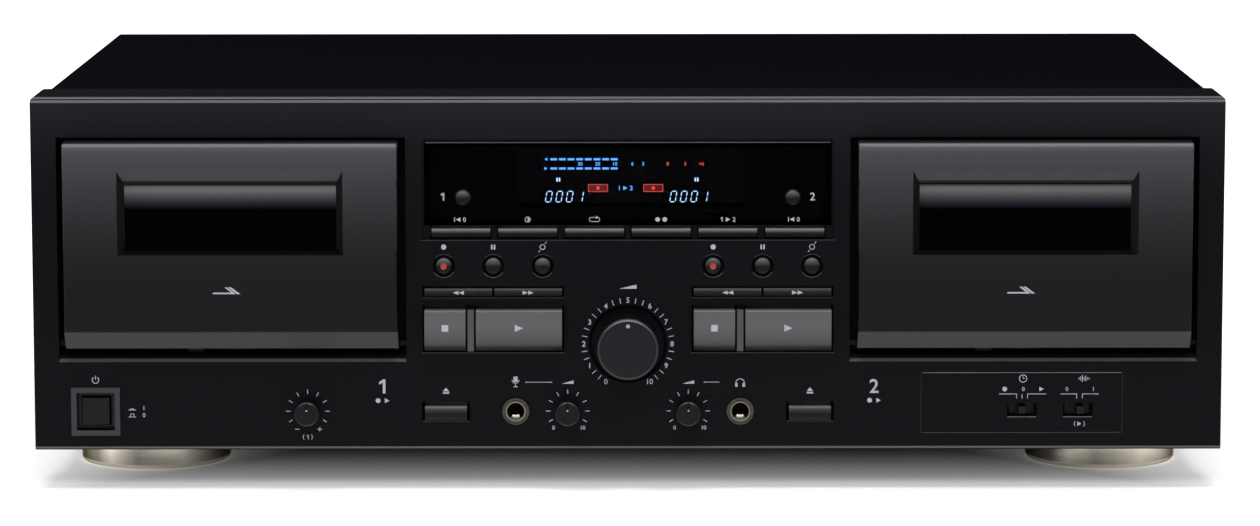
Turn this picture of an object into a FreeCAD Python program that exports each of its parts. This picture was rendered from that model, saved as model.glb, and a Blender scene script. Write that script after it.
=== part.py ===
"""Cassette duplicator: a twin tape deck, 435 mm wide, that copies one cassette onto another.

Frame: millimetres, +Z up, the front panel faces -Y. The origin lies on the floor, midway
between the outermost points in X and in Y. "Depth" means the distance behind the face of
the front panel, so a negative depth stands proud of it.
"""
import FreeCAD, Part
import os
import re
import Sketcher

SIZES = {
    # the case
    "panel_width": (435, "front panel, side to side"),
    "panel_height": (130, "front panel, lower edge to top"),
    "panel_depth": (31, "front panel, face to rear edge"),
    "panel_wall": (3.5, "front panel, thickness of its front wall"),
    "panel_rim": (3, "front panel, thickness of its sides, top and bottom"),
    "ground_gap": (15, "floor to the lower edge of the panel"),
    "case_depth": (262.8, "panel face to the outside of the rear wall"),
    "case_inset": (2.5, "cover side, inwards of the panel's end"),
    "case_drop": (0.5, "cover top, below the panel's top"),
    "cover_gap": (0.2, "seam between panel and cover"),
    "cover_bend": (1.5, "outer radius of the cover's folds"),
    "sheet_wall": (1, "steel sheet thickness"),
    "sheet_gap": (0.4, "chassis flange to the inside of the cover"),
    "flange_height": (12, "height of the chassis's side flanges"),
    "brow_upper": (0.7, "first bevel along the panel's top edge"),
    "brow_step": (0.4, "upright step between the two top bevels"),
    "brow_lower": (0.9, "second bevel along the panel's top edge"),
    "edge_bevel": (0.5, "bevel along the panel's lower edge"),
    "end_round": (1.6, "rounding of the panel's upper end corners"),
    # tape doors
    "end_margin": (9.2, "panel's end to the side of a door's opening"),
    "door_width": (121.6, "door, side to side"),
    "door_height": (76.3, "door, lower edge to top"),
    "door_low": (52.8, "floor to the door's lower edge"),
    "door_stand": (6, "door face, proud of the panel"),
    "door_depth": (9, "door, face to rear edge"),
    "door_wall": (3, "door, thickness of its front wall"),
    "door_rim": (2, "door, thickness of its rim"),
    "door_round": (2.2, "rounding of the door's top edge"),
    "door_soften": (0.8, "rounding of the door's side edges"),
    "door_side_gap": (2.8, "door to the side of its opening"),
    "door_top_gap": (1.2, "door to the top of its opening"),
    "ledge_gap": (2.7, "door to the inner edge of the sill below it"),
    "ledge_rise": (2.5, "rise of the sloping sill"),
    "chin_height": (7, "sloping strip along the door's lower edge"),
    "chin_back": (5, "how far that strip slopes back"),
    "chin_wall": (1.2, "solid above the sloping strip"),
    "lens_width": (77, "window in the door, width"),
    "lens_height": (24.6, "window in the door, height"),
    "lens_low": (36.4, "door's lower edge to the window"),
    "lens_wall": (2, "window pane thickness"),
    "lens_lap": (3, "window pane, hidden margin behind the door"),
    "frame_side": (2.55, "bevel beside the window"),
    "frame_top": (4.8, "bevel above the window"),
    "frame_low": (1.4, "bevel below the window"),
    "hinge_depth": (6, "door hinge axis, depth"),
    "hinge_rise": (0.8, "door hinge axis, above the door's lower edge"),
    "ear_wall": (2.5, "hinge ear thickness"),
    "ear_round": (3, "hinge ear, radius about the pin"),
    "ear_height": (12, "hinge ear, height up the door"),
    "pin_radius": (1.5, "hinge pin"),
    "turn_fit": (0.05, "radial clearance of a pin or shaft in its hole"),
    "post_radius": (2.5, "posts that carry the cassette holder"),
    "post_margin": (9, "posts, inwards of the holder's corners"),
    # compact cassette and its holder
    "tape_width": (100.4, "cassette, width"),
    "tape_height": (63.8, "cassette, height"),
    "tape_thick": (12, "cassette, thickness"),
    "tape_play": (0.8, "cassette, clearance on each side"),
    "tape_rise": (10.7, "door's lower edge to the cassette's open edge"),
    "holder_wall": (2, "cassette holder, front plate"),
    "rail_wall": (1.6, "cassette holder, side rails"),
    "rail_height": (56, "cassette holder, height of the rails"),
    "holder_height": (61, "cassette holder, height of the front plate"),
    "lip_reach": (3.8, "rear lip of a rail, inwards"),
    "lip_wall": (1.2, "rear lip thickness"),
    "shelf_reach": (13, "shelf under the cassette, inwards"),
    "shelf_wall": (1.5, "shelf thickness"),
    "view_margin": (3, "holder's view hole, beyond the window"),
    # tape mechanism
    "well_wall": (2, "side walls of the well behind a door"),
    "well_gap": (0.2, "well, beyond the panel's opening"),
    "well_drop": (2.1, "well floor, below the sill's inner edge"),
    "plate_depth": (18, "front of the mechanism plate, depth"),
    "plate_wall": (2.5, "mechanism plate thickness"),
    "tab_width": (9, "screw tabs of the well"),
    "tab_reach": (7, "screw tabs, beyond the well"),
    "tab_x": (45, "screw tabs, from the deck's centre"),
    "tab_hole": (1.6, "screw hole radius"),
    "hub_span": (42.5, "cassette hubs, centre to centre"),
    "hub_rise": (34.6, "cassette hubs, above the open edge"),
    "spindle_radius": (2.6, "spindle core"),
    "spindle_tip": (8, "spindle tip, depth"),
    "spindle_cone": (2, "length of the tapered tip"),
    "spindle_nose": (1.1, "radius of the tip's end"),
    "fin_reach": (4.1, "spindle fins, radius"),
    "fin_wall": (1, "spindle fin thickness"),
    "fin_length": (5.5, "spindle fin length"),
    "table_radius": (6.5, "flange behind a spindle"),
    "table_wall": (1.4, "flange thickness"),
    "table_gap": (0.4, "flange to the mechanism plate"),
    "shaft_radius": (1.5, "spindle shaft"),
    "boss_radius": (3.5, "bearing boss"),
    "boss_length": (3, "bearing boss of a spindle, behind the plate"),
    "drum_radius": (12, "drive drum of a spindle"),
    "drum_wall": (4, "drive drum, width"),
    "run_gap": (0.3, "end clearance of a turning part"),
    "capstan_x": (25.5, "capstan, from the cassette's centre"),
    "capstan_rise": (6.5, "capstan, above the cassette's open edge"),
    "capstan_radius": (1, "capstan shaft"),
    "capstan_fit": (0.02, "radial clearance of the capstan in its bearing"),
    "capstan_tip": (7.6, "capstan tip, depth"),
    "sleeve_length": (8, "capstan bearing, behind the plate"),
    "wheel_radius": (19, "flywheel"),
    "wheel_wall": (8, "flywheel width"),
    "wheel_hub": (6, "flywheel hub radius"),
    "wheel_dish": (3, "flywheel, depth of its dished face"),
    "wheel_rim": (3, "flywheel, rim around the dish"),
    "bracket_wall": (1.5, "flywheel bracket thickness"),
    "bracket_half": (24, "flywheel bracket, half its width"),
    "bracket_height": (14, "flywheel bracket, height"),
    "bracket_post": (2.5, "flywheel bracket, post radius"),
    "motor_radius": (15, "capstan motor"),
    "motor_length": (22, "capstan motor length"),
    "motor_x": (28, "capstan motor, from the deck's centre"),
    "locator_radius": (1.6, "pins that locate the cassette"),
    "locator_x": (40.5, "those pins, from the deck's centre"),
    "locator_rise": (13.5, "those pins, above the cassette's open edge"),
    "locator_length": (10, "those pins, length"),
    "carriage_travel": (6, "head carriage, rise in play"),
    "carriage_half": (33, "head carriage plate, half its width"),
    "carriage_low": (13.5, "carriage plate's lower edge, below the cassette"),
    "carriage_height": (12, "head carriage plate, height"),
    "carriage_wall": (1.4, "head carriage plate thickness"),
    "carriage_gap": (0.3, "carriage plate to the mechanism plate"),
    "guide_x": (21, "carriage guide pins, from the centre"),
    "guide_radius": (1.5, "carriage guide pin"),
    "guide_fit": (0.1, "guide pin in its slot"),
    "head_width": (12.4, "tape head, width"),
    "head_height": (11, "tape head, height"),
    "head_front": (6.5, "tape head, depth of its front"),
    "head_drop": (1.2, "tape head's top, below the cassette at rest"),
    "eraser_width": (6, "erase head, width"),
    "eraser_x": (14, "erase head, from the centre"),
    "roller_radius": (5.5, "pinch roller"),
    "roller_front": (7.5, "pinch roller, depth of its front"),
    "roller_length": (7, "pinch roller length"),
    "roller_pin": (1.2, "pinch roller pin"),
    # display
    "middle_half": (81.1, "half the space between the door openings that these are laid out in"),
    "recess_half": (75.2, "display recess, half its width"),
    "recess_low": (92.4, "floor to the recess's lower edge"),
    "recess_high": (129.7, "floor to the recess's top"),
    "recess_deep": (1, "display recess, depth"),
    "glass_half": (74.2, "display window, half its width"),
    "glass_low": (98.05, "floor to the window's lower edge"),
    "glass_high": (128.6, "floor to the window's top"),
    "glass_wall": (2, "display window thickness"),
    "glass_sink": (0.2, "display window, below the panel face"),
    "glass_fit": (0.15, "display window in its seat"),
    "glass_ledge": (2, "ledge that the window rests on"),
    "tube_x": (1.15, "display tube centre"),
    "tube_width": (83.9, "display tube, width"),
    "tube_height": (23.5, "display tube, height"),
    "tube_z": (115.85, "display tube centre, above the floor"),
    "tube_depth": (4.5, "display tube front, depth"),
    "tube_wall": (6, "display tube thickness"),
    "tube_base": (2, "display tube, thickness of its base glass"),
    "tube_step": (2, "display tube, cover glass inwards of its base"),
    "tube_nib": (1.6, "display tube, radius of its sealed end"),
    # keys
    "lip_gap": (0.5, "key lip behind the panel wall"),
    "key_lip": (1.2, "key lip, thickness and reach"),
    "stem_radius": (1.5, "key stem"),
    "key_travel": (1.2, "push key travel"),
    "stem_gap": (0.3, "pressed key to its switch"),
    "key_edge": (0.4, "softened edge of a key"),
    "function_pitch": (24.36, "function keys, spacing"),
    "function_z": (95.2, "function keys, above the floor"),
    "function_width": (21.4, "function key, width"),
    "function_height": (3, "function key, height"),
    "function_stand": (0.9, "function key, proud of the panel"),
    "function_side_gap": (0.4, "function key to the side of its slot"),
    "function_slot": (5, "function key slot, height"),
    "counter_x": (60.2, "counter reset button, from the middle"),
    "counter_z": (108, "counter reset button, above the floor"),
    "counter_radius": (2.55, "counter reset button"),
    "counter_gap": (0.9, "counter reset button in its hole"),
    "counter_stand": (0.6, "counter reset button, proud of the panel"),
    "group_x": (49.2, "key groups, from the middle"),
    "round_z": (83, "round buttons, above the floor"),
    "round_pitch": (18.05, "round buttons, spacing"),
    "round_radius": (2.85, "round button"),
    "round_gap": (0.3, "round button in its hole"),
    "round_bevel": (1, "bevel round the hole"),
    "round_stand": (1, "round button, proud of the panel"),
    "group_half": (25.1, "key groups, half their width"),
    "group_gap": (0.8, "key groups, to the side of the slot"),
    "wind_split": (0.8, "between rewind and forward"),
    "wind_z": (73.3, "winding keys, above the floor"),
    "wind_height": (2.8, "winding key, height"),
    "wind_slot": (3.9, "winding key slot, height"),
    "wind_shift": (0.25, "winding key slot, above the keys' centre"),
    "wind_stand": (1.2, "winding key, proud of the panel"),
    "transport_z": (59.55, "stop and play keys, above the floor"),
    "transport_height": (14.9, "stop and play keys, height"),
    "transport_slot": (17.5, "stop and play slot, height"),
    "transport_shift": (0.3, "slot centre, above the keys' centre"),
    "transport_stand": (4, "stop and play keys, proud of the panel"),
    "transport_bevel": (2.1, "bevel under the stop and play keys"),
    "transport_deep": (1.2, "recess round the stop and play keys"),
    "stop_width": (15, "stop key, width"),
    "bar_space": (0.75, "stop or play key to the bar between them"),
    "bar_width": (2.3, "bar between stop and play"),
    "web_side": (0.3, "web under the bar, beyond its sides"),
    "eject_x": (66.7, "eject key, from the middle"),
    "eject_z": (28.6, "eject key, above the floor"),
    "eject_width": (15.35, "eject key, width"),
    "eject_height": (5, "eject key, height"),
    "eject_stand": (1.5, "eject key, proud of the panel"),
    "eject_slot_width": (17.4, "eject slot, width"),
    "eject_slot_height": (7.2, "eject slot, height"),
    "eject_shift": (0.6, "eject slot centre, above the key's centre"),
    "eject_travel": (2, "eject key travel"),
    # lower row
    "row_z": (29.3, "lower row of controls, above the floor"),
    "power_inset": (22.4, "power button, from the panel's end"),
    "power_width": (10.1, "power button, width"),
    "power_travel": (3, "power button travel"),
    "bezel_width": (17.9, "power bezel, outer width"),
    "bezel_open": (13.9, "power bezel, inner width"),
    "bezel_stand": (0.8, "power bezel, proud of the panel"),
    "bezel_deep": (2.5, "power bezel, depth of its inner ledge"),
    "bezel_gap": (0.4, "power button in its bezel"),
    "bezel_neck": (15.5, "power bezel, width in the panel's hole"),
    "bezel_fit": (0.2, "power bezel in the panel's hole"),
    "bezel_back": (6, "power bezel, depth of its rear end"),
    "rec_z": (54.2, "record level knob, above the floor"),
    "rec_radius": (11.3, "record level knob"),
    "knob_stand": (14, "record level knob, proud of the panel"),
    "dial_radius": (13.4, "recess round the record level knob"),
    "dial_bevel": (1, "bevel of that recess"),
    "dial_deep": (2, "depth of that recess"),
    "dial_gap": (0.5, "knob to the floor of its recess"),
    "rim_bevel": (0.9, "bright bevel of the record level knob"),
    "dot_radius": (0.85, "pointer dot of the record level knob"),
    "dot_reach": (8.6, "pointer dot, from the knob's axis"),
    "dot_deep": (0.3, "pointer dot, depth"),
    "post_shaft": (3, "shaft of the record level knob"),
    "pitch_inset": (100.1, "pitch knob, from the panel's end"),
    "level_x": (22.1, "microphone and phones level knobs, from the middle"),
    "small_radius": (4.5, "small knob"),
    "small_stand": (7.3, "small knob, proud of the panel"),
    "small_bevel": (0.5, "bevel of a small knob"),
    "small_gap": (0.4, "small knob to the panel"),
    "small_shaft": (2, "shaft of a small knob"),
    "notch_width": (0.9, "pointer notch of a small knob"),
    "notch_deep": (0.7, "pointer notch, depth"),
    "shaft_hole": (0.5, "knob shaft in the panel's hole"),
    "jack_x": (41.15, "front jacks, from the middle"),
    "jack_bore": (3.2, "front jack, bore radius"),
    "jack_ring": (3.9, "front jack, inner ring radius"),
    "jack_nut": (4.95, "front jack, nut radius"),
    "jack_proud": (1, "front jack nut, proud of the panel"),
    "jack_thread": (4.5, "front jack, threaded neck radius"),
    "jack_fit": (0.15, "front jack in the panel's hole"),
    "jack_body": (13, "front jack, body width"),
    "jack_length": (30, "front jack, depth of its rear end"),
    "jack_floor": (2, "front jack, rear wall"),
    "plate_inset": (36, "outline round the slide switches, from the panel's end"),
    "plate_width": (74.3, "the same, width"),
    "plate_low": (21.2, "the same, lower side"),
    "plate_high": (43.4, "the same, upper side"),
    "line_width": (0.5, "the same, width of the groove"),
    "line_deep": (0.3, "the same, depth of the groove"),
    "timer_inset": (73.05, "timer switch, from the panel's end"),
    "noise_inset": (52.55, "noise reduction switch, from the panel's end"),
    "slide_z": (29.7, "slide switches, above the floor"),
    "slide_slot_width": (10.9, "slide switch slot, width"),
    "slide_slot_height": (5.1, "slide switch slot, height"),
    "nub_width": (2.8, "slide switch nub, width"),
    "nub_height": (2.6, "slide switch nub, height"),
    "nub_stand": (1.8, "slide switch nub, proud of the panel"),
    "slider_width": (9, "slide switch slider, width"),
    "slider_height": (4.4, "slide switch slider, height"),
    "slider_wall": (1.5, "slide switch slider, thickness"),
    "slider_gap": (0.4, "slider to the panel and to its housing"),
    "timer_travel": (2, "timer switch, middle to either end"),
    "noise_start": (0.85, "noise reduction nub, right of its slot's centre"),
    # control board
    "board_depth": (15, "control board front, depth"),
    "board_wall": (1.6, "circuit board thickness"),
    "board_half": (75, "control board, half its upper width"),
    "board_inset": (12.5, "control board's lower part, from the panel's ends"),
    "board_low": (20.5, "control board, lower edge above the floor"),
    "board_step": (43.5, "control board, top of its wide part"),
    "board_high": (128, "control board, top"),
    "tact_width": (6, "push switch, width"),
    "tact_height": (3.4, "push switch, height off the board"),
    "pot_width": (10, "potentiometer, width"),
    "pot_height": (5, "potentiometer, height off the board"),
    "pot_wall": (1.3, "potentiometer neck wall"),
    "pot_gap": (0.3, "potentiometer neck to the panel"),
    "stand_radius": (3, "posts that carry the control board"),
    "stand_near": (87.5, "inner posts of the control board, from the panel's ends"),
    "stand_far": (39.5, "outer posts of the control board, from the panel's ends"),
    "housing_width": (15, "slide switch housing, width"),
    "housing_height": (8, "slide switch housing, height"),
    # feet
    "foot_inset": (37.5, "foot centre, from the panel's end"),
    "foot_front": (66, "front feet, depth of their centres"),
    "foot_rear": (232, "rear feet, depth of their centres"),
    "foot_radius": (28.25, "foot, radius"),
    "foot_top": (27.4, "foot, radius at the top"),
    "foot_lip": (3.2, "height of the foot's lower ring"),
    "foot_groove": (0.6, "groove above that ring"),
    "pad_radius": (24, "rubber pad, radius"),
    "pad_height": (1.4, "rubber pad, height"),
    # inside the case
    "core_width": (56, "transformer core, width"),
    "core_depth": (38, "transformer core, depth"),
    "core_height": (47, "transformer core, height"),
    "core_inset": (67.5, "transformer, from the panel's end"),
    "core_back": (205, "transformer centre, depth"),
    "coil_width": (34, "transformer coil, width"),
    "coil_reach": (11, "transformer coil, beyond the core"),
    "coil_height": (33, "transformer coil, height"),
    "foot_plate": (80, "transformer bracket, width"),
    "bracket_sheet": (1.5, "transformer bracket, thickness"),
    "main_width": (210, "main board, width"),
    "main_left": (-85, "main board, left edge"),
    "main_front": (90, "main board, depth of its front edge"),
    "main_back": (258, "main board, depth of its rear edge"),
    "main_rise": (7, "main board, above the chassis"),
    "main_margin": (6, "main board posts, inwards of its corners"),
    "sink_width": (70, "heat sink, width"),
    "sink_wall": (3, "heat sink, thickness"),
    "sink_height": (32, "heat sink, height"),
    "can_radius": (8, "capacitor, radius"),
    "can_height": (26, "capacitor, height"),
    # rear connections
    "jack_stand": (9, "rear jacks, beyond the rear wall"),
    "line_inset": (122.5, "rear line jacks, from the panel's end"),
    "line_pitch": (14, "rear line jacks, spacing"),
    "line_low": (38, "rear line jacks, lower row above the floor"),
    "line_shell": (4.15, "rear line jack, shell radius"),
    "line_bore": (1.65, "rear line jack, centre bore radius"),
    "line_inner": (3.2, "rear line jack, insulator radius"),
    "line_collar": (5.4, "rear line jack, collar radius"),
    "collar_stand": (1, "rear line jack collar, beyond the rear wall"),
    "line_block": (12, "rear line jacks, housing depth"),
    "line_fit": (0.3, "rear line jack in the rear wall's hole"),
    "inlet_inset": (52.5, "mains inlet, from the panel's end"),
    "inlet_z": (45, "mains inlet, above the floor"),
    "inlet_width": (20, "mains inlet, outer width"),
    "inlet_height": (12, "mains inlet, outer height"),
    "inlet_open": (15.5, "mains inlet, cavity width"),
    "inlet_tall": (8.4, "mains inlet, cavity height"),
    "inlet_deep": (12, "mains inlet, cavity depth"),
    "inlet_wall": (2, "mains inlet, flange and rear wall"),
    "inlet_flange": (5, "mains inlet flange, beyond the body"),
    "inlet_fit": (0.2, "mains inlet in the rear wall's hole"),
    "prong_radius": (1.2, "mains inlet pin"),
    "prong_span": (8.6, "mains inlet pins, centre to centre"),
    "prong_length": (9, "mains inlet pin length"),
}

FACE = "((knob_stand - case_depth - jack_stand) / 2)"
PANEL_HIGH = "(ground_gap + panel_height)"
CASE_LOW = "(ground_gap + panel_rim)"
CASE_HIGH = "(ground_gap + panel_height - case_drop)"
CASE_HALF = "(panel_width / 2 - case_inset)"
HINGE_Z = "(door_low + hinge_rise)"
TAPE_LOW = "(door_low + tape_rise)"
HUB_Z = "(door_low + tape_rise + hub_rise)"
CAPSTAN_Z = "(door_low + tape_rise + capstan_rise)"
OPENING_HALF = "(door_width / 2 + door_side_gap)"
DOOR_X = f"(panel_width / 2 - end_margin - {OPENING_HALF})"
OPENING_LOW = "(door_low - ledge_gap)"
OPENING_HIGH = "(door_low + door_height + door_top_gap)"
LIP_FRONT = "(panel_wall + lip_gap)"
LIP_BACK = "(panel_wall + lip_gap + key_lip)"
CHASSIS_TOP = "(ground_gap + panel_rim + sheet_wall)"
MAIN_Z = "(ground_gap + panel_rim + sheet_wall + main_rise)"
POWER_X = "(power_inset - panel_width / 2)"
PLATE_RIGHT = "(panel_width / 2 - plate_inset)"
BOARD_REACH = "(panel_width / 2 - board_inset)"
FOOT_X = "(panel_width / 2 - foot_inset)"
INLET_X = "(inlet_inset - panel_width / 2)"
LINE_X = "(panel_width / 2 - line_inset)"
DECKS = ((1, "-1"), (2, "1"))
SPREADING = {"recess_half", "glass_half", "tube_x", "tube_width", "function_pitch",
             "function_width", "counter_x", "group_x", "group_half", "round_pitch", "stop_width",
             "eject_x", "eject_width", "eject_slot_width", "level_x", "jack_x", "board_half"}
PLANES = {"front": "XZ_Plane", "side": "YZ_Plane", "plan": "XY_Plane"}

doc = FreeCAD.newDocument("cassette_duplicator")
sheet = doc.addObject("Spreadsheet::Sheet", "sizes")
for row, (name, (value, note)) in enumerate(SIZES.items(), start=1):
    sheet.set(f"A{row}", note)
    sheet.set(f"B{row}", str(value))
    sheet.setAlias(f"B{row}", name)
spread_row = len(SIZES) + 1
sheet.set(f"A{spread_row}", "spread of the middle section, 1 as made")
sheet.set(f"B{spread_row}", f"=({DOOR_X} - {OPENING_HALF}) / middle_half")
sheet.setAlias(f"B{spread_row}", "spread")
doc.recompute()
sub_parts = []


def linked(text):
    """The expression in text, with each size read from the sheet.

    The places and widths of the middle section spread with the space between the doors.
    """
    def read(word):
        if word[0] in SPREADING:
            return f"(sizes.{word[0]} * sizes.spread)"
        return f"sizes.{word[0]}" if word[0] in SIZES else word[0]
    return re.sub(r"[a-z]\w*", read, str(text))


def size(text):
    """The present value of an expression, in millimetres."""
    return float(sheet.evalExpression(linked(text)))


def body(label, x="0", y="0", z="0"):
    """A new sub-part whose own origin stands at x, y, z."""
    part = doc.addObject("PartDesign::Body", label)
    part.Label = label
    part.AllowCompound = True
    for axis, text in zip("xyz", (x, y, z)):
        part.setExpression(f"Placement.Base.{axis}", linked(text))
    sub_parts.append(part)
    return part


def origin_feature(part, role):
    """The plane or axis of a sub-part's own origin that has this role."""
    return next(item for item in part.Origin.OriginFeatures if item.Role == role)


def pin_point(drawing, geometry, end, x, y):
    """Holds one point of a sketch at x, y."""
    for kind, text in (("DistanceX", x), ("DistanceY", y)):
        rule = Sketcher.Constraint(kind, -1, 1, geometry, end, size(text))
        index = drawing.addConstraint(rule)
        drawing.setExpression(f"Constraints[{index}]", linked(text))


def polygon(corners):
    """A closed outline with straight sides."""
    def draw(drawing):
        first = drawing.GeometryCount
        points = [FreeCAD.Vector(size(x), size(y), 0) for x, y in corners]
        lines = [Part.LineSegment(a, b) for a, b in zip(points, points[1:] + points[:1])]
        drawing.addGeometry(lines, False)
        count = len(points)
        joins = [(first + i, 2, first + (i + 1) % count, 1) for i in range(count)]
        drawing.addConstraint([Sketcher.Constraint("Coincident", *join) for join in joins])
        for i, (x, y) in enumerate(corners):
            pin_point(drawing, first + i, 1, x, y)
    return draw


def block(x, y, width, height):
    """A rectangle about the centre x, y."""
    left, right = f"({x}) - ({width}) / 2", f"({x}) + ({width}) / 2"
    low, high = f"({y}) - ({height}) / 2", f"({y}) + ({height}) / 2"
    return polygon([(left, low), (right, low), (right, high), (left, high)])


def span(left, low, right, high):
    """A rectangle between two corners."""
    return polygon([(left, low), (right, low), (right, high), (left, high)])


def circle(x, y, radius):
    """A circle about the centre x, y."""
    def draw(drawing):
        centre = FreeCAD.Vector(size(x), size(y), 0)
        ring = Part.Circle(centre, FreeCAD.Vector(0, 0, 1), size(radius))
        geometry = drawing.addGeometry(ring, False)
        pin_point(drawing, geometry, 3, x, y)
        index = drawing.addConstraint(Sketcher.Constraint("Radius", geometry, size(radius)))
        drawing.setExpression(f"Constraints[{index}]", linked(radius))
    return draw


def sketch(part, plane, offset, outlines):
    """A sketch of closed outlines on a plane of the sub-part.

    On the front plane offset is a depth, and x, y mean X and Z. On the side plane it is
    an X, and x, y mean depth and Z. On the plan plane it is a Z, and x, y mean X and depth.
    """
    drawing = part.newObject("Sketcher::SketchObject", f"{part.Label}_sketch")
    drawing.AttachmentSupport = [(origin_feature(part, PLANES[plane]), "")]
    drawing.MapMode = "FlatFace"
    sign = "-1" if plane == "front" else "1"
    drawing.setExpression("AttachmentOffset.Base.z", linked(f"{sign} * ({offset})"))
    for outline in outlines:
        outline(drawing)
    return drawing


def extrude(part, kind, drawing, length, back, both):
    """A pad or pocket of a drawing, to one side of its plane or, with both, to both sides."""
    feature = part.newObject(f"PartDesign::{kind}", f"{part.Label}_{kind.lower()}")
    feature.Profile = (drawing, [""])
    feature.setExpression("Length", linked(length))
    feature.Reversed = back
    feature.SideType = "Symmetric" if both else "One side"
    return feature


def pad(part, plane, offset, length, outlines, back=False, both=False):
    """Adds outlines, grown towards the front, +X or +Z, or the other way with back."""
    return extrude(part, "Pad", sketch(part, plane, offset, outlines), length, back, both)


def cut(part, plane, offset, length, outlines, back=False, both=False):
    """Cuts outlines, inwards from the front, towards -X or -Z, or the other way with back."""
    return extrude(part, "Pocket", sketch(part, plane, offset, outlines), length, back, both)


def turned(part, profile, kind="Revolution", plane="plan", offset="0"):
    """Turns a profile of radius, depth points about the sub-part's depth axis."""
    drawing = sketch(part, plane, offset, [polygon(profile)])
    feature = part.newObject(f"PartDesign::{kind}", f"{part.Label}_{kind.lower()}")
    feature.Profile = (drawing, [""])
    feature.ReferenceAxis = (drawing, ["V_Axis"])
    feature.Angle = 360
    return feature


def dress(part, kind, radius, wanted):
    """Fillets or chamfers the edges whose middle point passes the test in wanted."""
    doc.recompute()
    base = part.Tip
    names = []
    for number, edge in enumerate(base.Shape.Edges, start=1):
        middle = edge.valueAt((edge.FirstParameter + edge.LastParameter) / 2)
        if wanted(edge, middle):
            names.append(f"Edge{number}")
    feature = part.newObject(f"PartDesign::{kind}", f"{part.Label}_{kind.lower()}")
    feature.Base = (base, names)
    feature.setExpression("Radius" if kind == "Fillet" else "Size", linked(radius))
    return feature


def near(value, text):
    """Whether a coordinate lies at the place that an expression gives."""
    return abs(value - size(text)) < 0.001


def lofted_cut(part, near_depth, near_outline, far_depth, far_outline):
    """Cuts a hole whose outline changes evenly with depth."""
    first = sketch(part, "front", near_depth, [near_outline])
    second = sketch(part, "front", far_depth, [far_outline])
    feature = part.newObject("PartDesign::SubtractiveLoft", f"{part.Label}_loft")
    feature.Profile = (first, [""])
    feature.Sections = [(second, [""])]
    feature.Ruled = True
    return feature


# ---- places shared by a key, its hole in the panel and its switch on the board ----

WIND_WIDTH = "(group_half - wind_split / 2)"
PLAY_WIDTH = "(2 * group_half - stop_width - 2 * bar_space - bar_width)"
STOP_X = "(stop_width / 2 - group_half)"
BAR_X = "(stop_width + bar_space + bar_width / 2 - group_half)"
PLAY_X = f"(group_half - {PLAY_WIDTH} / 2)"
ROUND_ORDER = ("record", "pause", "mute")

rectangular_keys = {}
for index in range(6):
    rectangular_keys[f"function_key_{index + 1}"] = {
        "x": f"({index} - 2.5) * function_pitch", "z": "function_z",
        "width": "function_width", "height": "function_height",
        "stand": "function_stand", "bevel": "key_edge", "travel": "key_travel"}
for number, side in DECKS:
    middle = f"{side} * group_x"
    for name, way in (("rewind", "-1"), ("forward", "1")):
        rectangular_keys[f"{name}_{number}"] = {
            "x": f"{middle} + {way} * (group_half / 2 + wind_split / 4)", "z": "wind_z",
            "width": WIND_WIDTH, "height": "wind_height",
            "stand": "wind_stand", "bevel": "key_edge", "travel": "key_travel"}
    for name, x, width in (("stop", STOP_X, "stop_width"), ("play", PLAY_X, PLAY_WIDTH)):
        rectangular_keys[f"{name}_{number}"] = {
            "x": f"{middle} + {x}", "z": "transport_z",
            "width": width, "height": "transport_height",
            "stand": "transport_stand", "bevel": "transport_bevel", "travel": "key_travel"}
    rectangular_keys[f"eject_{number}"] = {
        "x": f"{side} * eject_x", "z": "eject_z",
        "width": "eject_width", "height": "eject_height",
        "stand": "eject_stand", "bevel": "key_edge", "travel": "eject_travel"}

round_keys = {}
for number, side in DECKS:
    for index, name in enumerate(ROUND_ORDER):
        round_keys[f"{name}_{number}"] = {
            "x": f"{side} * group_x + ({index} - 1) * round_pitch", "z": "round_z",
            "radius": "round_radius", "stand": "round_stand", "gap": "round_gap"}
    round_keys[f"counter_reset_{number}"] = {
        "x": f"{side} * counter_x", "z": "counter_z",
        "radius": "counter_radius", "stand": "counter_stand", "gap": "counter_gap"}

small_knobs = {"pitch_knob": "(pitch_inset - panel_width / 2)",
               "mic_level_knob": "-1 * level_x", "phones_level_knob": "level_x"}
slide_switches = {"timer_switch": ("(panel_width / 2 - timer_inset)", "0"),
                  "noise_switch": ("(panel_width / 2 - noise_inset)", "noise_start")}
board_posts = (("2 * stand_radius - board_half", "board_step + stand_radius"),
               ("board_half - 2 * stand_radius", "board_step + stand_radius"),
               ("stand_far - panel_width / 2", "row_z"), ("stand_near - panel_width / 2", "row_z"),
               ("panel_width / 2 - stand_near", "row_z"), ("panel_width / 2 - stand_far", "row_z"))


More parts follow.
